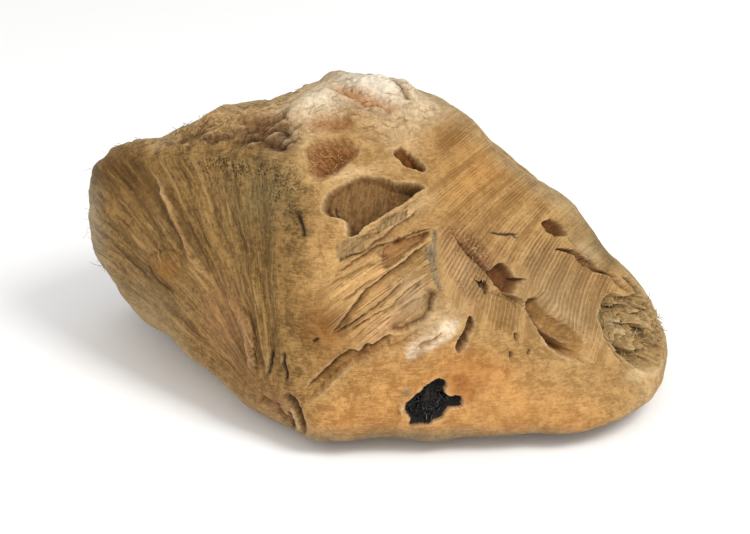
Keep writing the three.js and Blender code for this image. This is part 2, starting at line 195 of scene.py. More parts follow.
# carving, read off the front: right and up from the middle
carving = {
    # rim, depth, width of the wall, how the floor deepens to the right and up, tone inside, how strong it is
    "hollows": {
        "pocket": ([(-27.8, 26.5), (-25.5, 32.8), (-19, 36.9), (-8.8, 41.1), (2.6, 40.8), (10.4, 38.5),
            (17.2, 38), (22.4, 37.4), (23.9, 35.4), (16.1, 29.6), (10.4, 25.5), (4.2, 21.8), (-1.6, 18.7),
            (-7, 15.3), (-10.9, 11.4), (-15.1, 9.9), (-16.1, 14.6), (-17.4, 19.2), (-21.3, 20.3),
            (-25.5, 20.8), (-27.6, 23.4)], 9, 1.3, (0.15, -0.35), "8c663a", 0.95),
        "wormHole": ([(8, 54.1), (11, 57.1), (14.6, 55.6), (20.8, 52.5), (22.4, 49.5), (25.4, 46.3),
            (22.9, 43.7), (18.2, 45.2), (13, 47.4), (11.4, 49.9)], 5, 1.2, (0.1, -0.3), "74420f", 0.95),
        "scoop": ([(-38.5, 55.1), (-34.8, 60.3), (-27, 62.9), (-19.2, 62.9), (-13, 60.3), (-8.8, 57.2),
            (-10.4, 51), (-16.1, 46.3), (-23.4, 41.1), (-30.7, 38.5), (-35.9, 43.7)], 7, 16, (0, 0.1),
            "8a5122", 0.85),
        "chip": ([(2.6, 4.2), (7.3, 7.8), (12, 10.4), (17.2, 10.4), (22.4, 11.4), (27.6, 13), (26.5, 9.4),
            (21.3, 5.2), (15.6, 1), (10.4, -3.6), (4.7, -7), (2.6, -3.1)], 2.6, 1.6, (0, 0.1), "9c6c3a",
            0.7),
        "upperTrough": ([(58.7, -9.5), (60.7, -4.9), (64.1, -3.3), (67.1, -6.2), (70.7, -10.4),
            (75.7, -11.6), (73.3, -14), (72.3, -15.8), (68.2, -20.3), (62.9, -15.1)], 5.0, 1.6,
            (-0.15, -0.1), "70431c", 0.95),
        "lowerTroughFloor": ([(76.5, -22.4), (83.9, -21.5), (87.3, -26.5), (93.9, -33.1), (102.2, -38.9),
            (107.1, -44.7), (107.1, -49.7), (109.6, -57.2), (102.2, -53.9), (93.9, -48), (88.9, -42.3),
            (83.9, -35.6), (79, -28.2)], 1.6, 2.2, (-0.12, -0.1), "a3763f", 0.8),
        "brownHollow": ([(85.6, 16.6), (90.5, 19.2), (95.2, 17.7), (98, 15.9), (100.4, 10.9), (93.9, 10),
            (90.5, 11.7)], 4.0, 1.6, (0, 0), "6b3f18", 0.95),
        "brimRecess": ([(92.2, 3.4), (98.1, 0.9), (102.2, 0.1), (105.9, -4.5), (110.5, -5.7),
            (113.8, -8.2), (119.6, -9.5), (125.4, -12.4), (126.3, -10.7), (120.4, -7.4), (115.5, -2.4),
            (111.3, -0.8), (107.2, 2.5), (104.7, 4.2), (102.2, 3.4), (98.1, 3.4)], 3.2, 1.1, (0, 0),
            "875d31", 0.9),
        "sawPits": ([(52, -12), (55.1, -14), (57.7, -13), (59.8, -16.1), (60.8, -19.8), (57.7, -21.3),
            (55.6, -17.7)], 3, 1.3, (0, 0), "7c5830", 0.85),
        "rottenEnd": ([(117, -28.1), (118.6, -23.4), (124.4, -20), (130.6, -21.4), (136.9, -19.5),
            (142.6, -24.1), (147.7, -32.2), (149.2, -39.5), (148.7, -48.9), (147.2, -57.2), (143, -61.4),
            (136.8, -59.8), (129.5, -54.1), (124.3, -47.8), (120.1, -41.1), (116.5, -34.3)], 5, 2.6,
            (-0.1, -0.08), "b3925c", 0.8),
        "whiteScar": ([(13.7, -50.8), (14.5, -45.2), (22.5, -39.7), (31.2, -31.7), (36, -30.5),
            (41.5, -32.5), (40.8, -39.7), (31.2, -45.2), (20, -52.4), (16, -54)], 0.2, 8.0, (0, 0),
            "ecd6b6", 0.85),
        "knotStain": ([(36, -60), (42, -60.5), (43.5, -57), (46.5, -60.5), (49.5, -61), (48, -66),
            (50, -68.5), (49, -73.5), (43.5, -75.5), (38, -72), (34, -66)], 0.15, 5.0, (0, 0), "ad6c30",
            0.6),
        "greyStrip": ([(28.1, 13.3), (31.2, 12.9), (31.2, 6.5), (31.6, 0.2), (31.2, -6.2), (33.2, -12.6),
            (33.5, -18.2), (31.2, -16.6), (28.8, -10.2), (26.8, -3), (24.8, 0.2), (26, 4.9), (28.8, 7.3)],
            0.2, 1.2, (0, 0), "8b7f66", 0.65),
        "slab": ([(-20.5, 6.5), (-0.7, 13.3), (0.1, 11.3), (-7, 6.5), (-6.2, 3.3), (-18.2, -3),
            (-20.5, -1.5)], 0.9, 1.4, (0, 0), "a3865c", 0.7),
        "slabTwo": ([(-0.7, 17.3), (13.7, 24.4), (16.1, 23.2), (13.7, 18.5), (2.5, 12.9), (0.1, 11.3)],
            0.9, 1.4, (0, 0), "a3865c", 0.7),
        "charredKnot": ([(13.6, -77.2), (17.8, -73.6), (22.6, -69.2), (28.2, -65.4), (34, -63.4),
            (35.9, -66), (35, -69.6), (37, -71), (42.8, -71.2), (43.4, -76), (39.6, -77.4), (36.8, -79),
            (34.2, -82.2), (29.6, -85.2), (25, -87.6), (17, -88), (16.8, -84.6), (14, -80.6)], 3.6, 2.0,
            (0, 0), "120f0d", 1.0),
        # painted shade: the slot's dark tone inside
        "slot": ([(47.8, -31.7), (51, -33.3), (51, -38), (47.8, -44.5), (43.9, -49.9), (41.6, -48.4),
            (41.6, -44.5), (44.7, -39.5)], 4.5, 1.5, (-0.1, -0.2), "6b4522", 0.9),
    },
    # path, depth (raised if negative), width, tone, how strong it is
    "folds": {
        "burlFold": ([(-24.4, 85.3), (-18.2, 84.2), (-13, 82.7), (-5.7, 79.6), (1.6, 77.5), (9.4, 75.9),
            (14, 77)], 3.4, 1.9, "b9824b", 0.7),
        "burlCrack": ([(0.5, 91.5), (5.7, 89.4), (9.4, 86.3), (14, 82.2), (18.2, 79.6)], 2.2, 1.3,
            "7d5228", 0.8),
        "burlFineCrack": ([(-8, 90), (-2, 91), (6, 89)], 0.9, 0.9, "8b6a42", 0.6),
        "burlHollow": ([(-38, 71), (-30, 69), (-20, 69), (-11, 71)], 2.2, 3.4, "a8703c", 0.7),
        "shelfFold": ([(-76.4, 58.8), (-68.1, 61.4), (-59.8, 59.8), (-51.5, 57.2), (-44.2, 55.1)], 2.8,
            2.4, "57361a", 0.8),
        "upperShelfFold": ([(-73.3, 69.7), (-65, 68.6), (-55.6, 69.7), (-47.3, 72.8), (-42.1, 74.9)], 2.4,
            2.2, "6b4420", 0.7),
        "leftShelfFold": ([(-104.5, 57.2), (-97.2, 60.3), (-89.4, 62.4), (-80.6, 66.6)], 2.2, 2.2,
            "654a28", 0.6),
        "shelfCrease": ([(-92, 58), (-80, 61), (-68, 66), (-58, 66)], 1.5, 1.4, "5d3f20", 0.6),
        "shelfCreaseTwo": ([(-60, 61), (-52, 65), (-46, 63)], 1.6, 1.4, "5d3a1b", 0.7),
        # painted shade: the cleft's dark tone
        "footCleft": ([(-47.5, -73.5), (-45, -76.5), (-42.1, -81), (-40, -85.2), (-37.5, -91)], 6, 1.6,
            "43290f", 0.9),
        "footFold": ([(-54, -80), (-50, -83.5), (-45.3, -88), (-43, -93)], 2.4, 1.3, "5f4020", 0.7),
        "footFoldThree": ([(-46.4, -82), (-44.8, -85.5), (-43.8, -89.5)], 1.6, 0.8, "54371a", 0.8),
        "footFoldTwo": ([(-61.9, -73.8), (-55.6, -77), (-50.4, -80.1)], 2, 1.6, "7a5430", 0.6),
        "gougeLine": ([(-26.5, -15.6), (-16.6, -10.9), (-5.7, -5.2), (2.6, -3.1)], 0.8, 0.8, "7a5528",
            0.6),
        "gougeLineTwo": ([(-19.2, -23.9), (-9.9, -17.7), (-0.5, -10.4)], 0.9, 0.8, "7a5528", 0.7),
        "scarGroove": ([(20, -47.6), (26.5, -42.1), (33.5, -36.4)], 1.6, 1.5, "c69052", 0.7),
        "fanRidge": ([(-112.8, 39.5), (-107.1, 27.6), (-101.4, 14.6), (-96.7, 3.1), (-92, -6.2),
            (-86.3, -13.5)], -1.0, 1.2, "bd8f58", 0.7),
        "fanBlade": ([(-80.1, -23.9), (-74.9, -26.5), (-70.7, -30.7), (-67.6, -39.5), (-66, -48.9),
            (-65, -61.9)], -1.3, 1.4, "bf8f60", 0.7),
        "fanCrack": ([(-54.5, -49), (-55.5, -56), (-56.5, -63)], 1.6, 0.8, "3b2a16", 0.9),
        "fanCrackTwo": ([(-48.5, -50), (-48, -58), (-48, -67)], 1.6, 0.8, "3b2a16", 0.9),
        # painted shade: the crevice's dark tone
        "fanPit": ([(-41, 23), (-39, 16), (-38, 9)], 1.3, 1.2, "2f2412", 0.9),
        "browCrack": ([(57.2, 12.5), (64, 11.4), (70.7, 11.4), (73.2, 12.5)], 0.8, 0.6, "2c2620", 1.0),
        "browCrackFork": ([(69.5, 11.4), (71, 10), (72.6, 9.4)], 0.6, 0.5, "3a3024", 0.9),
        "knobRim": ([(-118, -3.1), (-114.9, -9.5), (-110, -15), (-104, -18.6)], 0.9, 0.9, "4c3519", 0.6),
        "knobRimTop": ([(-118, -3.1), (-114.9, 1), (-108.7, 3.1), (-101.4, 1), (-97.2, -6.2)], 0.6, 0.9,
            "5f4423", 0.4),
        "endCrack": ([(128, -11), (134, -15), (139, -22)], 1.6, 1.0, "59401f", 0.8),
        "endCrackTwo": ([(120, -8), (127, -15), (133, -19)], 1.4, 0.9, "5d4424", 0.7),
        "rotGap": ([(119, -26.5), (127, -29.5), (132, -28.5), (139, -27)], 2.2, 1.6, "5b4020", 0.8),
        "rotGapTwo": ([(116.5, -31), (121, -36), (127, -39.5)], 2.0, 1.7, "5b4020", 0.75),
        "rotGapThree": ([(133, -51), (139, -55.5), (145, -58)], 2.0, 1.9, "5b4020", 0.75),
        "rotGapFour": ([(142, -38), (145.5, -43), (147.5, -50)], 1.6, 1.8, "674a28", 0.7),
        "rotTuft": ([(130, -34), (134, -40), (138, -46)], -1.6, 2.4, "d3b788", 0.75),
        "rotTuftTwo": ([(123, -45), (129, -49), (133, -55)], -1.2, 1.8, "c9ab78", 0.7),
        "rotTuftThree": ([(137, -32), (141, -34), (144, -38)], -1.4, 2.0, "cfb283", 0.7),
        "knotSplinter": ([(13, -76), (12, -79), (12.5, -82)], -1.4, 0.8, "d0aa72", 0.8),
        "bellyPit": ([(68.6, -53.5), (69.8, -50)], 1.3, 0.9, "5d3d1e", 0.95),
        "bellyPitTwo": ([(72, -44), (73.4, -40.5)], 1.4, 1.0, "6b4a28", 0.9),
        "bellyPitThree": ([(79, -51.5), (80.4, -48.5)], 1.0, 0.8, "6b4a28", 0.9),
        "cheekPit": ([(-33.5, -44.5), (-30.5, -42.5)], 1.2, 0.9, "5d3d1e", 0.95),
        "pocketCrack": ([(-23.5, 28), (-22.5, 24), (-20, 20.5)], 1.0, 0.7, "33240f", 0.9),
    },
    # chisel and saw cuts: path, depth, how far it stays low to the right of the way along, tone, strength
    "cuts": {
        "slabEdge": ([(-21.3, -2.1), (-14, 0.8), (-7, 3.3), (-2.1, 6.8), (2.6, 10.4), (9.9, 16.1),
            (16.1, 20.8), (22.4, 26)], 3.2, 4.5, "b08d5c", 0.5),
        "upperEdge": ([(-24.4, -9.9), (-14, -3.1), (-7.3, 1.6), (2.6, 6.8), (12, 9.9), (21.3, 13),
            (29.6, 14.6)], 2.6, 5, "8a6232", 0.5),
        # painted shadow: the main groove's tone darkens the band at its foot
        "mainGroove": ([(-25.5, -42.6), (-19.2, -34.3), (-12.5, -25.5), (-5.5, -16.6), (2.6, -10.4),
            (13.5, -3.1), (21.3, 3.1), (27.6, 8.3)], 3.4, 9, "8a6230", 0.8),
        "second": ([(-25.5, -42.6), (-12, -34.1), (-0.5, -25.5), (10.4, -15.6), (15.1, -12.5)], 2.2, 5,
            "8f6735", 0.5),
        "third": ([(-16.6, -40.6), (-7.8, -34.8), (5.7, -26), (18.5, -15.6), (24.4, -11.4)], 2.0, 5,
            "94703c", 0.4),
        # painted shadow: the curved edge's tone darkens the band at its foot
        "curvedEdge": ([(33, -18), (30.4, -22.9), (29.6, -28.6), (26.5, -32.5), (21.6, -36.4),
            (13.5, -39.5), (5.7, -41.1)], 4.5, 10, "8c6d42", 0.6),
        # painted shadow: the crease's tone is the brown band at its foot
        "crease": ([(-39.5, -72.8), (-34.8, -67.6), (-29.6, -62.9), (-26, -58.8), (-21.3, -54.1),
            (-13.5, -49.4), (-9.4, -49.9), (-5.5, -45.2), (-2.2, -46), (5.7, -41.1), (10.4, -42.1)], 4, 7,
            "7d5427", 0.8),
        "lowerTrough": ([(109.7, -57.6), (98.8, -53), (91.4, -47.3), (85.6, -37.3), (80.6, -29.5),
            (75.7, -22.4)], 6.5, 12, "a87d46", 0.8),
        "rimTrough": ([(126.3, -12.4), (117.9, -9.9), (111.3, -7.4), (107.1, -4.1), (100.6, 0.9),
            (92.2, 3.4)], 1.5, 5.0, "84592b", 0.5),
        # painted shade: the rotten lip's tone darkens the bowl's lower-left wall
        "rottenLip": ([(134, -63), (128, -57), (122, -49), (118, -41), (115, -34), (117, -27)], 2.5, 5,
            "7d6138", 0.7),
        "sawLedge": ([(64, -18), (59, -10.4), (53.6, -4.7), (48.7, 0.2), (44.2, 5.2), (39, 10.4),
            (36, 14)], 2.4, 9, "a06f44", 0.7),
        "sawLedgeLow": ([(76, -28), (70, -24), (63, -22), (57, -18)], 1.6, 6, "a98256", 0.4),
        "brimLedge": ([(127, -12), (118, -6), (110, 0), (104, 4), (98, 10)], 2.0, 8, "8f7347", 0.5),
        "ridgeSide": ([(-86.3, -13.5), (-92, -6.2), (-96.7, 3.1), (-101.4, 14.6), (-107.1, 27.6),
            (-112.8, 39.5)], 1.5, 8, "5b4522", 0.6),
        "bladeSide": ([(-63, -61.9), (-64, -48.9), (-65.6, -39.5), (-68.7, -30.7), (-73, -25.5)], 1.5, 6,
            "59401f", 0.6),
        "pocketLip": ([(-16, 7), (-8, 11), (0, 16.5), (8, 21.5), (16, 27.5), (24, 33)], 1.3, 2.6, "a58a60",
            0.5),
    },
    # path, rise of the left side of the way along it, how far the left and right sides run back
    "steps": {
        "seamStep": ([(-40, -81), (-25, -67), (-15, -57), (-3, -51), (11, -46), (28, -35), (35, -25)],
            -1.8, 9, 16),
        "terrace": ([(33, 12), (42, 8), (50, 1), (59, -9), (67, -19), (76, -24), (85, -34), (93, -43),
            (106, -52), (116, -60)], 2, 14, 12),
    },
    # place, half length and half width, turn in degrees, height
    "lumps": {
        "greatBurl": ((4, 83), (22, 8), -14, 5),
        "leftBurl": ((-30, 78), (12, 7), 15, 5.5),
        "smallBurl": ((-44, 76), (9, 6), 25, 3),
        "lowBurl": ((-9, 70), (9, 5), 5, 2.6),
        "burlKnuckle": ((-1, 87), (9, 4), -8, 1.6),
        "burlKnuckleTwo": ((15, 87), (6, 3), -25, 1.8),
        "burlKnuckleThree": ((-25, 80), (5, 4), 20, 1.6),
        "shelfLump": ((-66, 72), (10, 6), 20, 3),
        "midShelfLump": ((-88, 66), (9, 6), 20, 2),
        "leftShelfLump": ((-104, 60), (7, 5), 20, 3),
        "endShelfLump": ((-123, 54), (14, 6), 5, 1.5),
        "fanBrow": ((-100, 48), (46, 6), 4, 2.2),
        "oldKnob": ((-107, -6), (8, 6), -30, 2.4),
        "pocketRim": ((-24, 15), (7, 9), 40, 3.0),
        "paleScar": ((31, -36), (13, 7), 38, 4),
        "bellySwell": ((64, -75), (40, 14), 0, 3),
        "browBlock": ((113, 12), (12, 8), -40, 2),
    },
}

# how the carved lines end and where they begin to count
edges = {
    "runs": 4,  # short straight runs between two corners of a path
    # the share of a path that its ends fade over, and what is left at the tip
    "foldEnds": (0.2, 0.25), "stepEnds": (0.15, 0), "cutEnds": (0.12, 0),
    "stepEdge": 0.9, "cutEdge": 0.7,  # width of the brink
    "foldRoom": 3, "stepRoom": 4,  # how many widths beside the path are worked out
    "patch": (0.25, 0.5),
}

fanRibs = {
    "foot": (-52, -84),
    # height, how close the ribs are, how soon they change along their length, where the pattern starts
    "ribs": [(1.7, 0.2, 0.012, 0), (0.5, 0.62, 0.02, 7.7), (0.22, 1.7, 0.05, 3.1)],
    "grownAt": (6, 40), "lip": 52, "lipFade": 6, "curl": 0.06, "curlMiddle": 80, "curlFrom": (10, 60),
    "from": -8, "to": 58, "fade": 15,
    "grainRound": 110,  # the grain is as close as it would be this far from the foot
}

# sides that the front doesn't show: turn, lift, length along the grain, width, tilt of the grain, rise
farForms = {
    "backRoot": (172, 6, 85, 16, 8, 7),
    "lowerValley": (196, -14, 70, 11, -10, -6),
    "backValley": (184, 30, 70, 11, 6, -5),
    "sawnStub": (128, 16, 20, 18, 0, 9),
    "stubCollar": (150, 30, 26, 16, 20, 5),
    "endValley": (100, -8, 30, 9, 35, -5),
    "leftRoot": (-118, 4, 42, 14, -25, 7),
    "leftValley": (-140, 24, 50, 11, -20, -6),
    "topHollow": (190, 58, 34, 15, 15, -5),
    "backCrack": (168, 22, 34, 2.2, 10, -3.5),
    "lowBackCrack": (202, 2, 26, 2.2, -6, -3),
    "leftCrack": (-128, 12, 20, 2.2, -22, -3),
}

weathering = {
    # height, size and start
    "swells": (1.7, 24, 0.0), "bumps": (0.8, 10, 3.3),
    "ripples": (0.34, 4.2, 7.1), "pitting": (0.16, 2.0, 1.7),
    # height, length, width, slope and start
    "backFurrows": (2.2, 70, 12, 0.15, 9.1), "fineFurrows": (0.9, 34, 3.6, 0.15, 4.6),
    "roughFloor": {"height": 0.55, "coarse": (3.1, 5.5), "fine": (1.5, 2.5), "fineShare": 0.6},
    # how far carved edges wander, over what size, and start
    "waver": [(0.8, 7.0, 1.5), (0.42, 1.6, 8.5)], "waverApart": 40,
    # which way the surface faces where each begins and is full: 1 straight at the front view, -1 away
    "frontFade": (0.02, 0.3), "skinFade": (-0.25, 0.1), "farFade": (0, 0.4), "furrowFade": (-0.1, 0.5),
    "sameSide": (0, 0.6),  # a far form stays on surfaces that face as its seat does
    "furrowRise": (-46, -21),  # heights over which the furrows begin
    "faceBlend": 5, "flatFrom": 40,
    "calm": {"ripples": 0.65, "swells": 0.7},  # how much less of them cut and sawn faces have
    # creases of folded skin: how much finer the small ones are, their share, start, swelling and sinking
    "creases": (2.3, 0.4, 4, 1.5, 0.85),
}

# saw marks: lines that lean less and less down the brow, deep on the washboard, and across the splintery cut
sawMarks = {
    # how far the lines run to the right for each millimetre up, low and high on the face
    "lean": (0.27, 1.28), "leanFrom": -25, "leanOver": 65, "across": 0.4,
    "pitch": 2.3, "wander": 0.4,
    "washboard": {"at": (101, -17), "size": (30, 19), "turn": -46, "depth": 0.34},
    "lowBoard": {"at": (67, -29), "size": (12, 9), "turn": -30},
    "brow": {"at": (60, 30), "size": (40, 28), "turn": -52, "depth": 0.12},
    "splinters": {"at": (47, -4), "size": (11, 22), "turn": 28, "depth": 0.32,
                  "lines": 58, "pitch": 2.0, "wander": 1.4, "threads": 2.5},
}

# where the chisel cuts lie and where the fan is pitted: place, half sizes and turn
chiselled = ((2, -16), (34, 26), 35)
pittedPatches = [((-46, 30), (15, 22), 0), ((-87, 48), (9, 7), 0), ((-70, 44), (16, 8), 0)]

# rims of the sawn face, of the folded shelf and of the burl
sawnRim = [
    (30, 10), (31, -3), (35, -22), (48, -31), (55, -38), (67, -43), (92, -49), (107, -58), (121, -59),
    (131, -57), (122, -46), (116, -34), (119, -26), (133, -22), (137, -19), (127, -3), (116, 8), (108, 22),
    (95, 31), (82, 42), (69, 55), (58, 70), (48, 79), (39, 81), (33, 75), (31, 60), (28, 47), (24, 34),
    (33, 21),
]
shelfRim = [
    (-150, 52), (-128, 53), (-113, 51), (-92, 53), (-71, 54), (-50, 54), (-41, 60), (-38, 70), (-38, 100),
    (-70, 100), (-110, 92), (-150, 80),
]
burlRim = [
    (-50, 110), (-50, 66), (-39, 57), (-24, 66), (-8, 60), (2, 56), (20, 62), (34, 72), (42, 92),
    (30, 112),
]

# folded skin: the way its folds run, their length, width and depth into the wood, their height, how far they
# stray over what distance, where the pattern starts, and how far inside the rim they are full
wrinkles = {
    "shelf": {"turn": 31, "size": (30, 4.6, 80), "height": 3.4, "stray": (4, 24), "start": 2.6, "wall": 7},
    "burl": {"turn": -22, "size": (26, 10, 90), "height": 2.6, "stray": (5, 24), "start": 5.1, "wall": 7},
    "rot": {"turn": 25, "size": (6, 4, 4), "height": 3.2, "stray": (4, 7), "start": 8.3, "wall": 3},
    "knot": {"turn": 40, "size": (9, 4, 5), "height": 2.2, "stray": (2, 6), "start": 6.7, "wall": 2},
}


def nearestOnPath(right, up, path):
    # distance to a path, the side it is on and the share of the way along
    far = np.full(len(right), np.inf)
    side = np.zeros(len(right))
    share = np.zeros(len(right))
    travelled = 0.0
    for (x0, y0), (x1, y1) in zip(path[:-1], path[1:]):
        dx, dy = x1 - x0, y1 - y0
        length = math.hypot(dx, dy)
        along = np.clip(((right - x0) * dx + (up - y0) * dy) / length**2, 0, 1)
        here = np.hypot(right - x0 - along * dx, up - y0 - along * dy)
        closer = here < far
        far = np.where(closer, here, far)
        side = np.where(closer, np.sign(dx * (up - y0) - dy * (right - x0)), side)
        share = np.where(closer, travelled + along * length, share)
        travelled += length
    return far, side, share / travelled


def isInside(right, up, rim):
    crossed = np.zeros(len(right), bool)
    for (x0, y0), (x1, y1) in zip(rim[:-1], rim[1:]):
        if y0 != y1:
            crossed ^= ((y0 > up) != (y1 > up)) & (right < (x1 - x0) * (up - y0) / (y1 - y0) + x0)
    return crossed


def nearPath(right, up, path, room, rule, closed=False):
    # what a rule makes of the places near a path, and 0 elsewhere; a closed path tells inside from outside
    curve = curveThrough(path, closed, edges["runs"])
    low, high = curve.min(0) - room, curve.max(0) + room
    close = (right > low[0]) & (right < high[0]) & (up > low[1]) & (up < high[1])
    height = np.zeros(len(right))
    if close.any():
        places = right[close], up[close], curve
        far, side, share = nearestOnPath(*places)
        height[close] = rule(far, isInside(*places) if closed else side, share)
    return height


def fadingEnds(share, fading, least):
    return least + (1 - least) * ease(share, 0, fading) * ease(1 - share, 0, fading)


def insideHollow(right, up, rim, wall):
    # 0 outside the rim, rising to 1 at the foot of the wall
    def rule(far, inside, share):
        return np.where(inside, np.sin(np.clip(far / wall, 0, 1) * math.pi / 2), 0)
    return nearPath(right, up, rim, 0, rule, closed=True)


def alongFold(right, up, path, width):
    # 1 on the line, fading over its width and towards its ends
    def rule(far, side, share):
        return np.exp(-((far / width) ** 2)) * fadingEnds(share, *edges["foldEnds"])
    return nearPath(right, up, path, edges["foldRoom"] * width, rule)


def besideStep(right, up, path, leftRun, rightRun):
    # 1 just to the left of the way along a path and -1 just to its right, each fading over its run
    def rule(far, side, share):
        run = np.where(side > 0, np.exp(-far / leftRun), -np.exp(-far / rightRun))
        return fadingEnds(share, *edges["stepEnds"]) * run * ease(far, 0, edges["stepEdge"])
    return nearPath(right, up, path, edges["stepRoom"] * max(leftRun, rightRun), rule)


def besideCut(right, up, path, run):
    # 1 just to the right of the way along a path, falling evenly to 0, and 0 to its left
    def rule(far, side, share):
        low = np.where(side < 0, np.clip(1 - far / run, 0, 1) * ease(far, 0, edges["cutEdge"]), 0)
        return low * fadingEnds(share, *edges["cutEnds"])
    return nearPath(right, up, path, run, rule)


def onPatch(right, up, at, size, turn):
    # 1 in the middle of an oval patch, fading outwards
    angle = math.radians(turn)
    dx, dy = right - at[0], up - at[1]
    along = (dx * math.cos(angle) + dy * math.sin(angle)) / size[0]
    across = (dy * math.cos(angle) - dx * math.sin(angle)) / size[1]
    return np.exp(-(along**2 + across**2))


def solidPatch(right, up, at, size, turn):
    # the same oval, but full inside and soft only at its edge
    return ease(onPatch(right, up, at, size, turn), *edges["patch"])


def ribRun(right, up):
    # the fan's own directions: degrees round its foot, the same as the ribs curl, and how far out
    dx, dy = right - fanRibs["foot"][0], up - fanRibs["foot"][1]
    far = np.hypot(dx, dy)
    angle = np.degrees(np.arctan2(-dx, dy))
    bent = angle - fanRibs["curl"] * (far - fanRibs["curlMiddle"]) * ease(angle, *fanRibs["curlFrom"])
    return angle, bent, far


def onFan(right, up):
    angle, _, far = ribRun(right, up)
    start, end, fade = (fanRibs[name] for name in ("from", "to", "fade"))
    sides = ease(angle, start, start + fade) * ease(end - angle, 0, fade)
    return sides * ease(far, *fanRibs["grownAt"]) * ease(fanRibs["lip"] - up, 0, fanRibs["lipFade"])


def ribHeight(right, up):
    _, bent, far = ribRun(right, up)
    ribs = sum(height * ramble(bent * perDegree, far * perMillimetre, start)
               for height, perDegree, perMillimetre, start in fanRibs["ribs"])
    return ribs * onFan(right, up)


def folded(points, kind):
    # swellings with sharp creases between them, drawn out one way and straying
    angle = math.radians(kind["turn"])
    right, up, out = points @ viewRight, points @ viewUp, points @ viewOut
    far, over = kind["stray"]
    stray = far * rambleAt(points, over, kind["start"])
    along = (right * math.cos(angle) + up * math.sin(angle) + stray) / kind["size"][0]
    across = (up * math.cos(angle) - right * math.sin(angle) + stray) / kind["size"][1]
    deep = out / kind["size"][2] + kind["start"]
    finer, share, start, swell, sink = weathering["creases"]
    small = np.abs(ramble(finer * along, finer * across + start, finer * deep))
    crest = np.abs(ramble(along, across, deep)) + share * small
    return kind["height"] * (swell * crest - sink)


def faceShares(points, blend):
    # how much each hewn face has of a point
    past = pastEachFace(points) / blend
    share = np.exp(past - past.max(1)[:, None])
    share = share / share.sum(1)[:, None]
    return dict(zip([*rootForm["faces"], "outline", "underside"], share.T))


def seatOf(form):
    turn, lift, length, width, grain, rise = form
    ray = heading(turn, lift)
    seat = ray * surfaceAlong(ray[None])[0]
    normal = facing(seat[None])[0]
    level = np.cross([0, 0, 1], normal)
    level = level / np.linalg.norm(level)
    angle = math.radians(grain)
    along = level * math.cos(angle) + np.cross(normal, level) * math.sin(angle)
    return {"seat": seat, "normal": normal, "along": along, "across": np.cross(normal, along),
            "length": length, "width": width, "rise": rise}


farSeats = {name: seatOf(form) for name, form in farForms.items()}


def onFarForm(points, normals, form):
    away = points - form["seat"]
    along = away @ form["along"] / form["length"]
    across = away @ form["across"] / form["width"]
    deep = away @ form["normal"] / form["length"]
    return np.exp(-(along**2 + across**2 + deep**2)) * ease(normals @ form["normal"], *weathering["sameSide"])


def waver(right, up, out):
    # carved edges wander, so that no line on the wood is drawn with a ruler
    shifts = [sum(far * ramble(right / size + start, up / size, out / size + deep)
                  for far, size, deep in weathering["waver"]) for start in (0, weathering["waverApart"])]
    return right + shifts[0], up + shifts[1]


def furrows(points, kind):
    height, along, across, slope, start = kind
    x, y, z = points.T
    return height * ramble(x / along + start, y / across + start, (z + slope * x) / across + start)


def relief(points, normals):
    # how far the surface stands out of the hewn lump or lies in it
    right, up = frontView(points)
    cutRight, cutUp = waver(right, up, points @ viewOut)
    height = np.zeros(len(points))
    rough = weathering["roughFloor"]
    roughness = rough["height"] * (
        rambleAt(points, *rough["coarse"]) + rough["fineShare"] * rambleAt(points, *rough["fine"]))
    for rim, depth, wall, (toRight, toUp), *_ in carving["hollows"].values():
        middle = np.mean(rim, axis=0)
        floor = depth + toRight * (right - middle[0]) + toUp * (up - middle[1])
        height -= np.maximum(floor + roughness, 0) * insideHollow(cutRight, cutUp, rim, wall)
    for path, depth, width, *_ in carving["folds"].values():
        height -= depth * alongFold(cutRight, cutUp, path, width)
    for path, depth, run, *_ in carving["cuts"].values():
        height -= (depth + roughness) * besideCut(cutRight, cutUp, path, run)
    for path, rise, leftRun, rightRun in carving["steps"].values():
        height += rise * besideStep(cutRight, cutUp, path, leftRun, rightRun)
    for at, size, turn, rise in carving["lumps"].values():
        height += rise * onPatch(right, up, at, size, turn)
    height += ribHeight(right, up)
    for kind, hollow in ((wrinkles["rot"], "rottenEnd"), (wrinkles["knot"], "charredKnot")):
        rim = carving["hollows"][hollow][0]
        height += insideHollow(cutRight, cutUp, rim, kind["wall"]) * folded(points, kind)
    height *= ease(normals @ viewOut, *weathering["frontFade"])
    skinFade = ease(normals @ viewOut, *weathering["skinFade"])
    for kind, rim in ((wrinkles["shelf"], shelfRim), (wrinkles["burl"], burlRim)):
        height += skinFade * insideHollow(right, up, rim, kind["wall"]) * folded(points, kind)
    hidden = ease(-(normals @ viewOut), *weathering["farFade"])
    for form in farSeats.values():
        height += form["rise"] * hidden * onFarForm(points, normals, form)
    share = faceShares(points, weathering["faceBlend"])
    sawn = np.clip(share["brow"] + share["outline"] * (right > weathering["flatFrom"]), 0, 1)
    cut = np.clip(share["belly"] + share["brow"] + share["cheek"], 0, 1)
    flat, smooth = 1 - weathering["calm"]["swells"] * sawn, 1 - weathering["calm"]["ripples"] * cut
    for name, calmer in (("swells", flat), ("bumps", flat), ("ripples", smooth), ("pitting", smooth)):
        tall, size, start = weathering[name]
        height += tall * rambleAt(points, size, start) * calmer
    atBack = ease(-(normals @ viewOut), *weathering["furrowFade"])
    atBack = atBack * ease(points[:, 2], *weathering["furrowRise"])
    coarse, fine = (furrows(points, weathering[kind]) for kind in ("backFurrows", "fineFurrows"))
    height += atBack * (coarse + fine)
    return height


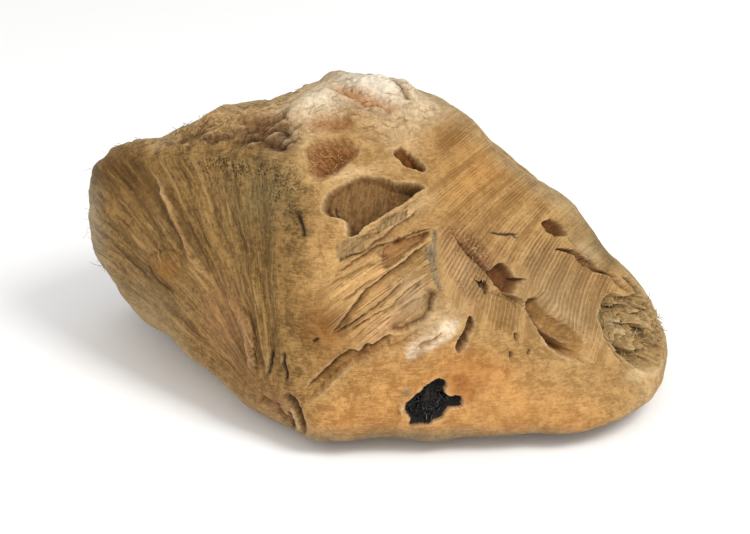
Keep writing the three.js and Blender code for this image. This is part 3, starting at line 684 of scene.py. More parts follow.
def sphereRays(detail):
    # even directions: each face of a 20-sided ball cut into small triangles
    golden = (1 + math.sqrt(5)) / 2
    corners = np.array([
        (-1, golden, 0), (1, golden, 0), (-1, -golden, 0), (1, -golden, 0),
        (0, -1, golden), (0, 1, golden), (0, -1, -golden), (0, 1, -golden),
        (golden, 0, -1), (golden, 0, 1), (-golden, 0, -1), (-golden, 0, 1)])
    sides = [
        (0, 11, 5), (0, 5, 1), (0, 1, 7), (0, 7, 10), (0, 10, 11), (1, 5, 9), (5, 11, 4), (11, 10, 2),
        (10, 7, 6), (7, 1, 8), (3, 9, 4), (3, 4, 2), (3, 2, 6), (3, 6, 8), (3, 8, 9), (4, 9, 5), (2, 4, 11),
        (6, 2, 10), (8, 6, 7), (9, 8, 1)]
    steps = [(i, j) for i in range(detail + 1) for j in range(detail + 1 - i)]
    number = {step: n for n, step in enumerate(steps)}
    upright = [(number[i, j], number[i + 1, j], number[i, j + 1]) for i, j in steps if i + j < detail]
    turned = [(number[i + 1, j], number[i + 1, j + 1], number[i, j + 1])
              for i, j in steps if i + j < detail - 1]
    small = np.array(upright + turned)
    i, j = np.array(steps).T[:, :, None]
    points, triangles = [], []
    for a, b, c in sides:
        flat = (corners[a] * (detail - i - j) + corners[b] * i + corners[c] * j) / detail
        triangles.append(small + len(points) * len(steps))
        points.append(flat / np.linalg.norm(flat, axis=1)[:, None])
    points = np.vstack(points)
    # the sides share their edges' points once these are rounded alike
    _, first, which = np.unique(np.round(points, 6), axis=0, return_index=True, return_inverse=True)
    return points[first], which.reshape(-1)[np.vstack(triangles)]


def woodSurface():
    rays, triangles = sphereRays(rootForm["detail"])
    rays = (rays + rootForm["frontCrowding"] * viewOut) * np.array(rootForm["stretch"])
    rays = rays / np.linalg.norm(rays, axis=1)[:, None]
    hewn = surfaceAlong(rays)
    base = rays * hewn[:, None]
    normals = facing(base)
    lean = np.clip((normals * rays).sum(1), rootForm["leastLean"], 1)
    far = hewn + relief(base, normals) / lean
    low = rays[:, 2] < 0
    # nothing reaches below the ground
    far[low] = np.minimum(far[low], rootPlace["middle"][2] / -rays[low, 2])
    return base, normals, rays * far[:, None], triangles


print("carving the root")
hewnPoints, hewnNormals, woodPoints, woodTriangles = woodSurface()
print("the root has", len(woodTriangles), "faces")


def edgesOf(triangles):
    pairs = np.sort(np.vstack([triangles[:, [0, 1]], triangles[:, [1, 2]], triangles[:, [2, 0]]]), axis=1)
    return np.unique(pairs, axis=0)


def spreadOut(values, pairs, rounds):
    # averages with the neighbours, as often as it is told
    count = np.bincount(pairs.ravel(), minlength=len(values))
    for _ in range(rounds):
        total = np.column_stack([
            np.bincount(pairs[:, 0], column[pairs[:, 1]], len(values))
            + np.bincount(pairs[:, 1], column[pairs[:, 0]], len(values)) for column in values.T])
        values = (values + total / count[:, None]) / 2
    return values


def normalsOf(points, triangles):
    a, b, c = (points[triangles[:, k]] for k in range(3))
    across = np.cross(b - a, c - a)
    total = np.column_stack([
        sum(np.bincount(triangles[:, k], column, len(points)) for k in range(3)) for column in across.T])
    return total / np.linalg.norm(total, axis=1)[:, None]


def bendOf(points, normals, pairs, rounds):
    # how far a point lies below the average of the surface round it: more rounds, a wider average
    return ((spreadOut(points, pairs, rounds) - points) * normals).sum(1)


# the wood's colours, and some painted light and shade: markings seen from the front, as place, half sizes,
# turn, tone and strength
markings = {
    "darkShoulder": ((-133, 44), (17, 12), -10, "694717", 0.85),
    "brownShoulder": ((-118, 24), (14, 20), -15, "8a6636", 0.5),
    "oliveFan": ((-58, 32), (18, 18), 0, "85724a", 0.6),
    "greyHip": ((-122, -26), (22, 20), -50, "a48a62", 0.7),
    # painted bounce light: a paler grey rim along the left edge
    "leftRimBounceLight": ((-147, 14), (7, 28), 5, "b5a68a", 0.8),
    "knob": ((-107, -7), (8, 8), -30, "9c692c", 0.7),
    "pinkFan": ((-80, -34), (12, 22), 10, "b9875a", 0.55),
    "lowFan": ((-68, -62), (12, 14), 0, "8f6539", 0.5),
    "foot": ((-52, -78), (12, 9), -30, "a87a52", 0.6),
    "redShelf": ((-57, 66), (13, 6), 15, "6c4008", 0.9),
    "darkShelf": ((-48, 61), (8, 7), 20, "4d3015", 0.7),
    "whiteBurl": ((2, 86), (25, 10), -12, "f4ead6", 0.97),
    "whiteLeftBurl": ((-30, 79), (12, 7), 15, "ecdcc0", 0.9),
    "creamBurl": ((22, 80), (15, 9), -28, "e2c9a0", 0.75),
    "paleShelf": ((-72, 72), (18, 5), 22, "c4a06c", 0.6),
    "orangeValley": ((-12, 82), (13, 2.6), -18, "c08650", 0.6),
    "paleUnderBurl": ((9, 66), (16, 10), -20, "d9b98c", 0.7),
    # painted highlight: a pale cream band along the pocket's upper lip
    "pocketRimHighlight": ((-15, 43), (17, 3.5), 8, "dcb885", 0.75),
    "paleSill": ((20, 25), (14, 4), 30, "d6b684", 0.7),
    "goldBrow": ((52, 42), (26, 14), 38, "b98544", 0.6),
    "brownBrow": ((38, 62), (15, 10), 40, "93652a", 0.65),
    "paleBrowRim": ((84, 37), (44, 4.5), -38, "ac9166", 0.8),
    "greyEnd": ((112, 12), (13, 8), -42, "8a7450", 0.65),
    "palePatch": ((112, 2), (9, 3), -42, "cfb489", 0.7),
    "troughLedge": ((99, -31), (17, 3), -42, "dcbb8c", 0.65),
    "darkBrim": ((119, 2), (12, 3.5), -47, "75603f", 0.85),
    "rimGap": ((104, 11), (6, 4), -40, "8d7148", 0.6),
    "yellowChisel": ((-8, -14), (22, 20), 40, "ecbd7c", 0.8),
    "brownCheek": ((-27, -38), (11, 18), 30, "85541c", 0.8),
    "greyGouge": ((18, -22), (12, 10), 50, "c2a680", 0.75),
    "pinkFacet": ((4, -36), (14, 5), 38, "deb180", 0.7),
    "brownBand": ((53, 0), (12, 5), -52, "9d7146", 0.8),
    "paleSplinters": ((45, -8), (9, 16), 28, "d2ad7d", 0.7),
    "greyWashboard": ((94, -20), (26, 16), -40, "c4a474", 0.7),
    "paleScar": ((30, -37), (15, 8), 38, "e4c79a", 0.6),
    "orangeUnderScar": ((52, -56), (20, 8), -12, "b57738", 0.5),
    "ashPatch": ((15, -70.8), (3.4, 2.2), 45, "8a7a5c", 0.75),
    "brownStain": ((46, -66), (10, 8), 30, "8a4a18", 0.5),
    "whiteRotRim": ((137, -61), (9, 3.5), 25, "d2b988", 0.8),
    "warmBelly": ((64, -77), (46, 12), 0, "d9a462", 0.5),
    "paleEnd": ((146, -70), (9, 13), 20, "cfae80", 0.5),
    # painted shade: a darker, greyer band along the bottom edge next to the floor
    "shadedBottomEdge": ((40, -96), (90, 6.5), 0, "84755a", 0.9),
}

woodTones = {
    "blend": 2.6,  # how softly one face's tone runs into the next, in millimetres
    "ragged": 5.0, "raggedSize": 14.0, "raggedFiner": 3, "raggedShare": 0.5, "raggedStarts": (1.3, 5.7, 9.9),
    "darker": {"markings": 0.66, "hollows": 0.55, "folds": 0.6, "cuts": 0.62},  # the tone between the grain
    "wallReach": 0.45,  # how far down a hollow's wall its tone is full
    "cutReach": (0.4, 0.95),  # how near a cut's foot its tone begins and is full
    # bends of the mesh in millimetres, where the painted shade of creases, the pale tone of worn edges, the
    # painted shade of broad hollows and the pale tone of proud places begins and is full
    "creaseRounds": 3, "creaseReach": (0.05, 0.32), "wornReach": (0.07, 0.3),
    "sunkenRounds": 40, "sunkenReach": (0.15, 2.2), "proudReach": (0.3, 2.4),
    "shelfSkin": 0.7,
    # how far inside its rim each kind of wood is full
    "walls": {"sawn": 5, "skin": 7, "rot": 4, "char": 1.2, "wall": 1.5, "unsawn": 1, "scoop": 8, "rotRim": 1.5,
              "shelf": 6},
}


def tone(code):
    # a colour as painters write it, into linear light
    values = np.array([int(code[i:i + 2], 16) / 255 for i in (0, 2, 4)])
    return np.where(values <= 0.04045, values / 12.92, ((values + 0.055) / 1.055) ** 2.4)


def blended(base, other, share):
    return base + (other - base) * share[:, None]


def ragged(points):
    # shifts that make the border between two faces' tones irregular
    size, finer = woodTones["raggedSize"], woodTones["raggedSize"] / woodTones["raggedFiner"]
    return woodTones["ragged"] * np.column_stack([
        rambleAt(points, size, start) + woodTones["raggedShare"] * rambleAt(points, finer, start)
        for start in woodTones["raggedStarts"]])


def tonesInPlace(right, up):
    # each marking's and each carving's tone, how much of it a place has, and how dark it is between the grain
    darker = woodTones["darker"]
    for at, size, turn, code, strength in markings.values():
        yield code, strength, onPatch(right, up, at, size, turn), darker["markings"]
    for rim, _, wall, _, code, strength in carving["hollows"].values():
        yield code, strength, insideHollow(right, up, rim, woodTones["wallReach"] * wall), darker["hollows"]
    for path, _, width, code, strength in carving["folds"].values():
        yield code, strength, alongFold(right, up, path, width), darker["folds"]
    for path, _, run, code, strength in carving["cuts"].values():
        foot = ease(besideCut(right, up, path, run), *woodTones["cutReach"])
        yield code, strength, foot, darker["cuts"]


def woodColours(right, up, front, faceShare):
    share = np.column_stack(list(faceShare.values()))
    pairs = [face[3:] for face in rootForm["faces"].values()]
    pairs += [rootForm["outlineTones"], rootForm["undersideTones"]]
    light, dark = (share @ np.array([tone(pair[k]) for pair in pairs]) for k in (0, 1))
    for code, strength, much, darker in tonesInPlace(right, up):
        cover = strength * front * much
        light = blended(light, tone(code), cover)
        dark = blended(dark, tone(code) * darker, cover)
    return light, dark


trueRight, trueUp = frontView(hewnPoints)
seenRight, seenUp = waver(trueRight, trueUp, hewnPoints @ viewOut)
frontShare = ease(hewnNormals @ viewOut, *weathering["frontFade"])
faceShare = faceShares(hewnPoints + ragged(hewnPoints), woodTones["blend"])
lightTone, darkTone = woodColours(seenRight, seenUp, frontShare, faceShare)


def inHollows(kind, *names):
    wall = woodTones["walls"][kind]
    return sum(insideHollow(seenRight, seenUp, carving["hollows"][name][0], wall) for name in names)


def inRim(kind, rim):
    return insideHollow(seenRight, seenUp, rim, woodTones["walls"][kind])


def onMarks(name):
    kind = sawMarks[name]
    return frontShare * solidPatch(seenRight, seenUp, kind["at"], kind["size"], kind["turn"])


# how much of each kind of wood a place has, and where painted shade falls in creases and broad hollows, for
# the finish
fanShare = frontShare * onFan(seenRight, seenUp)
chiselShare = frontShare * solidPatch(seenRight, seenUp, *chiselled)
sawnShare = frontShare * inRim("sawn", sawnRim) * (1 - chiselShare)
skinShare = frontShare * np.clip(inRim("skin", shelfRim) + inRim("skin", burlRim), 0, 1)
topShare = np.clip(faceShare["crown"] + woodTones["shelfSkin"] * faceShare["shelf"], 0, 1)
rimCuts = [carving["cuts"][name] for name in ("lowerTrough", "rimTrough")]
unsawn = inHollows("unsawn", "upperTrough", "brownHollow", "rottenEnd", "pocket", "slot")
unsawn = unsawn + sum(besideCut(seenRight, seenUp, path, run) for path, _, run, *_ in rimCuts)
untouched = 1 - np.clip(unsawn, 0, 1)
boardShare = untouched * sawnShare * np.clip(onMarks("washboard") + onMarks("lowBoard"), 0, 1)
woodNormals = normalsOf(woodPoints, woodTriangles)
woodEdges = edgesOf(woodTriangles)
creaseBend = bendOf(woodPoints, woodNormals, woodEdges, woodTones["creaseRounds"])
broadBend = bendOf(woodPoints, woodNormals, woodEdges, woodTones["sunkenRounds"])
woodShares = {
    "fan": fanShare,
    "chiselled": chiselShare,
    "sawn": sawnShare,
    "burl": np.maximum(skinShare, topShare) * (1 - fanShare),
    "rot": frontShare * inHollows("rot", "rottenEnd"),
    "char": frontShare * inHollows("char", "charredKnot"),
    "wall": frontShare * inHollows("wall", "pocket", "slab", "slabTwo", "greyStrip"),
    "scoop": frontShare * inHollows("scoop", "scoop"),
    "board": boardShare,
    "brow": untouched * sawnShare * onMarks("brow"),
    "splintery": untouched * onMarks("splinters") * (1 - boardShare),
    "pitted": frontShare * np.clip(sum(onPatch(seenRight, seenUp, *patch) for patch in pittedPatches), 0, 1),
    "hidden": ease(-(hewnNormals @ viewOut), *weathering["furrowFade"]),
    # painted shade: darker where the mesh bends into a narrow crease
    "creaseShade": ease(creaseBend, *woodTones["creaseReach"]),
    "worn": ease(-creaseBend, *woodTones["wornReach"]),
    # painted shade: darker where the surface lies below its wide surroundings
    "sunkenShade": ease(broadBend, *woodTones["sunkenReach"]),
    "proud": ease(-broadBend, *woodTones["proudReach"]),
}

# the runs of the grain on the fan and of the saw marks, as places in a pattern
_, fanBent, fanFar = ribRun(trueRight, trueUp)
sawUp = trueUp - sawMarks["leanFrom"]
sawBend = np.clip(sawUp, 0, sawMarks["leanOver"])
lowLean, highLean = sawMarks["lean"]
leaning = sawBend**2 / 2 / sawMarks["leanOver"] + np.maximum(sawUp - sawBend, 0)
sawShift = lowLean * sawUp + (highLean - lowLean) * leaning
sawAcross = sawUp + sawMarks["across"] * trueRight
woodRuns = {
    "fanRun": np.column_stack([np.radians(fanBent) * fanRibs["grainRound"], fanFar, hewnPoints @ viewOut]),
    "sawRun": np.column_stack([trueRight - sawShift, sawAcross, hewnPoints @ viewOut]),
}
print("the wood's tones are mixed")


class Signal:
    # a socket among a material's nodes: sums written on it add the nodes that work them out
    def __init__(self, tree, socket=None):
        self.tree = tree
        self.socket = socket

    def node(self, kind, settings=None, values=None, out=0):
        made = self.tree.nodes.new(kind)
        for name, value in (settings or {}).items():
            setattr(made, name, value)
        for place, value in (values or {}).items():
            if isinstance(value, Signal):
                self.tree.links.new(value.socket, made.inputs[place])
            else:
                made.inputs[place].default_value = value
        return Signal(self.tree, made.outputs[out])

    def sum(self, operation, *values):
        return self.node("ShaderNodeMath", {"operation": operation}, dict(enumerate(values)))

    def __add__(self, other): return self.sum("ADD", self, other)
    def __radd__(self, other): return self.sum("ADD", other, self)
    def __sub__(self, other): return self.sum("SUBTRACT", self, other)
    def __rsub__(self, other): return self.sum("SUBTRACT", other, self)
    def __mul__(self, other): return self.sum("MULTIPLY", self, other)
    def __rmul__(self, other): return self.sum("MULTIPLY", other, self)

    def within(self, low, high):
        # 0 below low, 1 above high, smooth between
        settings = {"interpolation_type": "SMOOTHSTEP"}
        return self.node("ShaderNodeMapRange", settings, {0: self, 1: low, 2: high})

    def mixed(self, first, second):
        # from the first colour to the second as this goes from 0 to 1
        return self.node("ShaderNodeMix", {"data_type": "RGBA"}, {0: self, 6: first, 7: second}, out=2)

    def shaded(self, colour, darkest):
        # the colour, times the darkest tint as this goes from 0 to 1
        settings = {"data_type": "RGBA", "blend_type": "MULTIPLY"}
        return self.node("ShaderNodeMix", settings, {0: self, 6: colour, 7: (*darkest, 1)}, out=2)

    def attribute(self, name, out=2):
        return self.node("ShaderNodeAttribute", {"attribute_name": name}, out=out)

    def towards(self, arrow, size):
        # how far along an arrow a point lies, counted in that size
        arrow = tuple(float(v) / size for v in arrow)
        return self.node("ShaderNodeVectorMath", {"operation": "DOT_PRODUCT"}, {0: self, 1: arrow}, out=1)

    def noise(self, detail, roughness, scale=1.0, distortion=0.0):
        return self.node("ShaderNodeTexNoise", None, {
            "Vector": self, "Scale": scale, "Detail": detail,
            "Roughness": roughness, "Distortion": distortion})

    def grained(self, arrows, sizes, detail, roughness):
        # noise drawn out along the first arrow
        places = {k: self.towards(arrow, size) for k, (arrow, size) in enumerate(zip(arrows, sizes))}
        return self.node("ShaderNodeCombineXYZ", None, places).noise(detail, roughness)


def onFace(name, slope):
    # arrows along lines drawn at that slope on a hewn face in the front view, across them and out of the face
    turn, lift = rootForm["faces"][name][:2]
    out = heading(turn, lift)
    angle = math.radians(slope)
    along = viewRight * math.cos(angle) + viewUp * math.sin(angle)
    along = along - viewOut * (along @ out) / (viewOut @ out)
    along = along / np.linalg.norm(along)
    return along, np.cross(out, along), out


# noises of the wood: detail, roughness, patches per millimetre, distortion
woodNoises = {
    "mottles": (6, 0.7, 0.13, 0.4),
    "burlPatches": (6, 0.68, 0.2, 1.0),
    "specks": (3, 0.65, 0.9),
    "dust": (6, 0.78, 0.42),
    "patchy": (3, 0.6, 0.16),
    "broad": (3, 0.55, 0.035),
    "wander": (2, 0.5, 0.08),
    "broken": (3, 0.6, 0.14),
    "rotCrumbs": (4, 0.7, 0.5),
    "charCrumbs": (4, 0.6, 0.45),
}

# noises drawn out along the grain: the run, or the hewn face and the slope of its lines; their size along,
# across and deep; detail and roughness
woodThreads = {
    "fanStreaks": ("fanRun", (4.2, 60, 60), 3, 0.6),
    "fanThreads": ("fanRun", (1.0, 8, 30), 5, 0.76),
    "fanLines": ("fanRun", (1.7, 26, 30), 2, 0.5),
    "browBands": ("sawRun", (7, 60, 60), 3, 0.55),
    "browThreads": ("sawRun", (0.9, 22, 60), 3, 0.65),
    "bellyThreads": (("belly", 3), (4.5, 0.7, 4), 3, 0.65),
    "backThreads": (("belly", -6), (60, 3.6, 3.6), 4, 0.6),
    "chiselThreads": (("cheek", 38), (22, 1.1, 9), 5, 0.72),
    "chiselBands": (("cheek", 38), (70, 3.4, 20), 2, 0.5),
    "scoopThreads": (("crown", -20), (12, 0.9, 6), 3, 0.65),
    "wallThreads": (("cheek", 80), (7, 1.1, 8), 4, 0.75),
    "skinFolds": (("crown", 24), (20, 5, 8), 2, 0.5),
    "flecks": (("belly", 3), (2.2, 0.8, 1.4), 2, 0.6),
}

woodFinish = {
    # the grain of the belly, and of each other kind of wood over it in this order, as shares of the noises
    "bellyGrain": {"mottles": 0.6, "bellyThreads": 0.4},
    "grains": {
        "hidden": {"backThreads": 0.5, "mottles": 0.5},
        "chiselled": {"chiselThreads": 0.5, "chiselBands": 0.5},
        "sawn": {"browBands": 0.55, "browThreads": 0.45},
        "burl": {"burlPatches": 0.75, "specks": 0.25},
        "fan": {"fanStreaks": 0.5, "fanThreads": 0.5},
        "scoop": {"scoopThreads": 1},
        "wall": {"wallThreads": 1},
    },
    # where a noise begins to count and counts in full
    "reach": {
        "grain": (0.38, 0.64), "broad": (0.3, 0.7), "broken": (0.38, 0.62), "cracked": (0.35, 0.6),
        "darkLines": (0.4, 0.34), "paleLines": (0.6, 0.68), "flecks": (0.64, 0.72), "pits": (0.92, 0.99),
        "char": (0.55, 0.8), "ash": (0.45, 0.75),
    },
    "cracks": {"chiselBands": 0.03, "skinFolds": 0.02}, "crackEdge": 0.3, "skinCracks": 0.7,
    "dustInGrain": 0.5, "dustInChar": 1.5, "charFull": 1.3,
    "patchyPits": 0.6, "pittedPits": 0.08, "fanPits": 0.35,
    # what lies over the grain, in this order: its strength, and a tint that darkens or a tone that covers; the
    # last two are painted shade in creases and in broad hollows
    "layers": {
        "broad": (0.3, (0.72, 0.66, 0.58)),
        "board": (0.6, (0.6, 0.48, 0.37)),
        "brow": (0.6, (0.6, 0.48, 0.37)),
        "splintery": (0.8, (0.6, 0.48, 0.37)),
        "cracks": (0.75, (0.42, 0.32, 0.22)),
        "darkLines": (0.6, (0.42, 0.32, 0.22)),
        "paleLines": (0.4, "c09a68"),
        "flecks": (0.55, (0.33, 0.29, 0.24)),
        "pits": (0.85, (0.33, 0.29, 0.24)),
        "worn": (1, "e3c79a"),
        # painted shade darkening the creases
        "creaseShade": (0.8, (0.42, 0.31, 0.22)),
        # painted shade darkening the broad hollows
        "sunkenShade": (0.5, (0.7, 0.6, 0.48)),
    },
    "wornPale": 0.42, "proudPale": 0.1,
    "charTones": ("0f0d0b", "332d26"),
    "roughness": (0.95, 0.7), "burlSheen": 0.5, "speckSheen": 0.1, "charGloss": 0.55, "specular": 0.3,
    "bumpDepth": 1.0,
    # relief too fine for the mesh, in millimetres: where each noise stands, and how high
    "relief": {
        "grain": ("everywhere", 0.4), "specks": ("everywhere", 0.14), "dust": ("everywhere", 0.7),
        "fanThreads": ("fan", 0.45), "fanStreaks": ("fan", 0.4), "chiselThreads": ("chiselled", 0.5),
        "rotCrumbs": ("rot", 1.2), "burlPatches": ("burl", 0.9), "charCrumbs": ("char", 1.5),
        "wallThreads": ("wall", 0.6),
    },
    "sunk": {"pits": 0.25, "flecks": 0.12, "cracks": 0.45},
}


def makeWoodMaterial():
    look = bpy.data.materials.new("weatheredRootWood")
    look.use_nodes = True
    tree = look.node_tree
    shader = tree.nodes["Principled BSDF"]
    wood = Signal(tree)
    place = wood.node("ShaderNodeTexCoord", out=3)
    spot = wood.node("ShaderNodeVectorMath", {"operation": "SCALE"}, {
        0: place, "Scale": 1 / rootPlace["metre"]})
    share = {kind: wood.attribute(kind + "Share") for kind in woodShares}
    runs = {name: wood.attribute(name, 1) for name in woodRuns}
    noise = {name: spot.noise(*values) for name, values in woodNoises.items()}
    for name, (run, sizes, detail, roughness) in woodThreads.items():
        field, arrows = (runs[run], np.eye(3)) if run in runs else (spot, onFace(*run))
        noise[name] = field.grained(arrows, sizes, detail, roughness)

    def reached(name, value):
        return value.within(*woodFinish["reach"][name])

    def mixOf(shares):
        return sum(much * noise[name] for name, much in shares.items())

    def crackedIn(name):
        # thin cracks, where a slow noise crosses its middle
        width = woodFinish["cracks"][name]
        return wood.sum("ABSOLUTE", noise[name] - 0.5).within(width, width * woodFinish["crackEdge"])

    grain = mixOf(woodFinish["bellyGrain"])
    for kind, shares in woodFinish["grains"].items():
        grain = grain + share[kind] * (mixOf(shares) - grain)
    cracks = crackedIn("chiselBands") * share["chiselled"]
    cracks = cracks + crackedIn("skinFolds") * share["burl"] * woodFinish["skinCracks"]
    cracks = cracks * reached("cracked", noise["patchy"])
    broken = reached("broken", noise["broken"])
    flecks = reached("flecks", noise["flecks"]) * (1 - share["burl"])
    pits = noise["specks"] + woodFinish["patchyPits"] * noise["patchy"]
    pits = reached("pits", pits + woodFinish["pittedPits"] * share["pitted"])
    pits = pits * (woodFinish["fanPits"] * share["fan"] + share["pitted"])

    # saw marks and torn splinters, as waves from -1 to 1
    sawWave = runs["sawRun"].towards((1, 0, 0), sawMarks["pitch"]) + sawMarks["wander"] * noise["wander"]
    saw = wood.sum("SINE", sawWave * (2 * math.pi))
    torn = sawMarks["splinters"]
    tornWave = spot.towards(onFace("brow", torn["lines"])[1], torn["pitch"])
    tornWave = tornWave + torn["wander"] * noise["wander"]
    tearing = wood.sum("SINE", tornWave * (2 * math.pi)) + torn["threads"] * (noise["browThreads"] - 0.5)

    light, dark = wood.attribute("lightTone", 0), wood.attribute("darkTone", 0)
    colour = reached("grain", grain + woodFinish["dustInGrain"] * (noise["dust"] - 0.5)).mixed(dark, light)
    worn = share["worn"] * noise["dust"] * (1 - share["char"]) * woodFinish["wornPale"]
    cover = {
        "broad": reached("broad", noise["broad"]),
        "board": share["board"] * (0.5 - 0.5 * saw),
        "brow": share["brow"] * broken * (0.5 - 0.5 * saw),
        "splintery": share["splintery"] * (0.5 - 0.5 * tearing),
        "cracks": cracks,
        "darkLines": share["fan"] * reached("darkLines", noise["fanLines"]),
        "paleLines": share["fan"] * reached("paleLines", noise["fanLines"]),
        "flecks": flecks,
        "pits": pits,
        "worn": worn + woodFinish["proudPale"] * share["proud"],
        # painted shade in the creases
        "creaseShade": share["creaseShade"],
        # painted shade in the broad hollows
        "sunkenShade": share["sunkenShade"],
    }
    for name, (strength, tint) in woodFinish["layers"].items():
        much = cover[name] * strength
        colour = much.mixed(colour, (*tone(tint), 1)) if isinstance(tint, str) else much.shaded(colour, tint)
    coal, ash = ((*tone(code), 1) for code in woodFinish["charTones"])
    charred = share["char"] * woodFinish["charFull"] + woodFinish["dustInChar"] * (noise["dust"] - 0.5)
    colour = reached("char", charred).mixed(colour, reached("ash", noise["specks"]).mixed(coal, ash))
    tree.links.new(colour.socket, shader.inputs["Base Color"])

    # sheen of the worn places, and the gloss of the char
    rough, smooth = woodFinish["roughness"]
    roughness = rough + (smooth - rough) * (share["worn"] + woodFinish["burlSheen"] * share["burl"])
    roughness = roughness + woodFinish["speckSheen"] * (noise["specks"] - 0.5)
    roughness = roughness - woodFinish["charGloss"] * share["char"] * noise["burlPatches"]
    tree.links.new(roughness.socket, shader.inputs["Roughness"])
    shader.inputs["Specular IOR Level"].default_value = woodFinish["specular"]

    fine = share["board"] * sawMarks["washboard"]["depth"] * saw
    fine = fine + share["brow"] * broken * sawMarks["brow"]["depth"] * saw
    fine = fine + share["splintery"] * torn["depth"] * tearing
    noise["grain"] = grain
    for name, (kind, height) in woodFinish["relief"].items():
        rise = height * (noise[name] - 0.5)
        fine = fine + (rise if kind == "everywhere" else share[kind] * rise)
    for name, depth in woodFinish["sunk"].items():
        fine = fine - depth * {"pits": pits, "flecks": flecks, "cracks": cracks}[name]
    bump = wood.node("ShaderNodeBump", None, {
        "Strength": 1.0, "Distance": rootPlace["metre"] * woodFinish["bumpDepth"], "Height": fine})
    tree.links.new(bump.socket, shader.inputs["Normal"])
    return look


def storeOnPoints(mesh, name, kind, values):
    layer = mesh.attributes.new(name, kind, "POINT")
    field = {"FLOAT_COLOR": "color", "FLOAT_VECTOR": "vector", "FLOAT": "value"}[kind]
    values = np.asarray(values, np.float32)
    if kind == "FLOAT_COLOR":
        values = np.column_stack([values, np.ones(len(values), np.float32)])
    layer.data.foreach_set(field, values.ravel())


def partOfWood(name, chosen):
    # the chosen triangles as a mesh, whose edge fits the next part's exactly, and which of the points it has
    used, triangles = np.unique(woodTriangles[chosen], return_inverse=True)
    mesh = bpy.data.meshes.new(name)
    place = (woodPoints[used] + np.array(rootPlace["middle"])) * rootPlace["metre"]
    mesh.from_pydata(place.tolist(), [], triangles.reshape(-1, 3).tolist())
    return mesh, used


def placed(name, data):
    made = bpy.data.objects.new(name, data)
    bpy.context.scene.collection.objects.link(made)
    return made


def makeShare(name, look, chosen):
    mesh, used = partOfWood(name, chosen)
    storeOnPoints(mesh, "lightTone", "FLOAT_COLOR", lightTone[used])
    storeOnPoints(mesh, "darkTone", "FLOAT_COLOR", darkTone[used])
    for kind, values in woodShares.items():
        storeOnPoints(mesh, kind + "Share", "FLOAT", values[used])
    for run, values in woodRuns.items():
        storeOnPoints(mesh, run, "FLOAT_VECTOR", values[used])
    mesh.shade_smooth()
    mesh.normals_split_custom_set_from_vertices(woodNormals[used].tolist())
    mesh.materials.append(look)
    piece = placed(name, mesh)
    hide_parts("root")
    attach(piece, "root")
    print(name, "has", chosen.sum(), "faces")


# the front is parted in two, and what faces away from the viewer is a piece of its own
parting = {"right": -14.0, "behind": -0.05}
woodLook = makeWoodMaterial()
behind = hewnNormals[woodTriangles].mean(1) @ viewOut < parting["behind"]
atLeft = ~behind & (woodPoints[woodTriangles].mean(1)[:, 0] < parting["right"])
for pieceName, chosenFaces in {"rootFan": atLeft, "rootBrow": ~behind & ~atLeft, "rootBack": behind}.items():
    makeShare(pieceName, woodLook, chosenFaces)

# what stands off the wood: fibres, splinters and flakes of coal, strewn over parts of its surface
strewn = {
    # how many, length and thickness, how far they lean over in degrees, sizes from and to, bend, two tones
    "rotFibres": {
        "count": 380, "length": 3.2, "thick": 0.13, "lean": (40, 86), "size": (0.4, 1.5), "bend": 0.6,
        "tones": ("c2a672", "6b5030"), "rough": 0.85, "seed": 3},
    "rimFibres": {
        "count": 14, "length": 5.0, "thick": 0.08, "lean": (20, 70), "size": (0.4, 1.2), "bend": 0.9,
        "tones": ("7a6140", "3f2d18"), "rough": 0.85, "seed": 11},
    "sawSplinters": {
        "count": 90, "length": 2.6, "thick": 0.14, "lean": (76, 89), "size": (0.4, 1.2), "bend": 0.1,
        "tones": ("d6b07c", "8f6a3c"), "rough": 0.85, "seed": 7},
    "scoopFibres": {
        "count": 90, "length": 4.2, "thick": 0.11, "lean": (78, 89.5), "size": (0.5, 1.3), "bend": 0.8,
        "tones": ("d3a26a", "6b4322"), "rough": 0.85, "seed": 19},
    "skinFibres": {
        "count": 150, "length": 4.0, "thick": 0.12, "lean": (82, 90), "size": (0.4, 1.3), "bend": 0.7,
        "tones": ("8d6c3e", "3c2813"), "rough": 0.85, "seed": 23},
    "coalFlakes": {
        "count": 70, "length": 3.0, "thick": 0.8, "lean": (80, 90), "size": (0.4, 1.1), "bend": 0.1,
        "tones": ("14110f", "060505"), "rough": 0.3, "seed": 5},
}


sliver = {
    "runs": 4, "sides": 3, "middle": 0.5, "tip": 0.9, "sideways": 0.3, "taper": 0.85,
    "mottle": (3, 0.6, 400), "mottleReach": (0.35, 0.65),
}


def makeStrewnLook(name, kind):
    look = bpy.data.materials.new(name)
    look.use_nodes = True
    shader = look.node_tree.nodes["Principled BSDF"]
    place = Signal(look.node_tree).node("ShaderNodeTexCoord", out=3)
    pale, dark = ((*tone(code), 1) for code in kind["tones"])
    colour = place.noise(*sliver["mottle"]).within(*sliver["mottleReach"]).mixed(dark, pale)
    look.node_tree.links.new(colour.socket, shader.inputs["Base Color"])
    shader.inputs["Roughness"].default_value = kind["rough"]
    return look


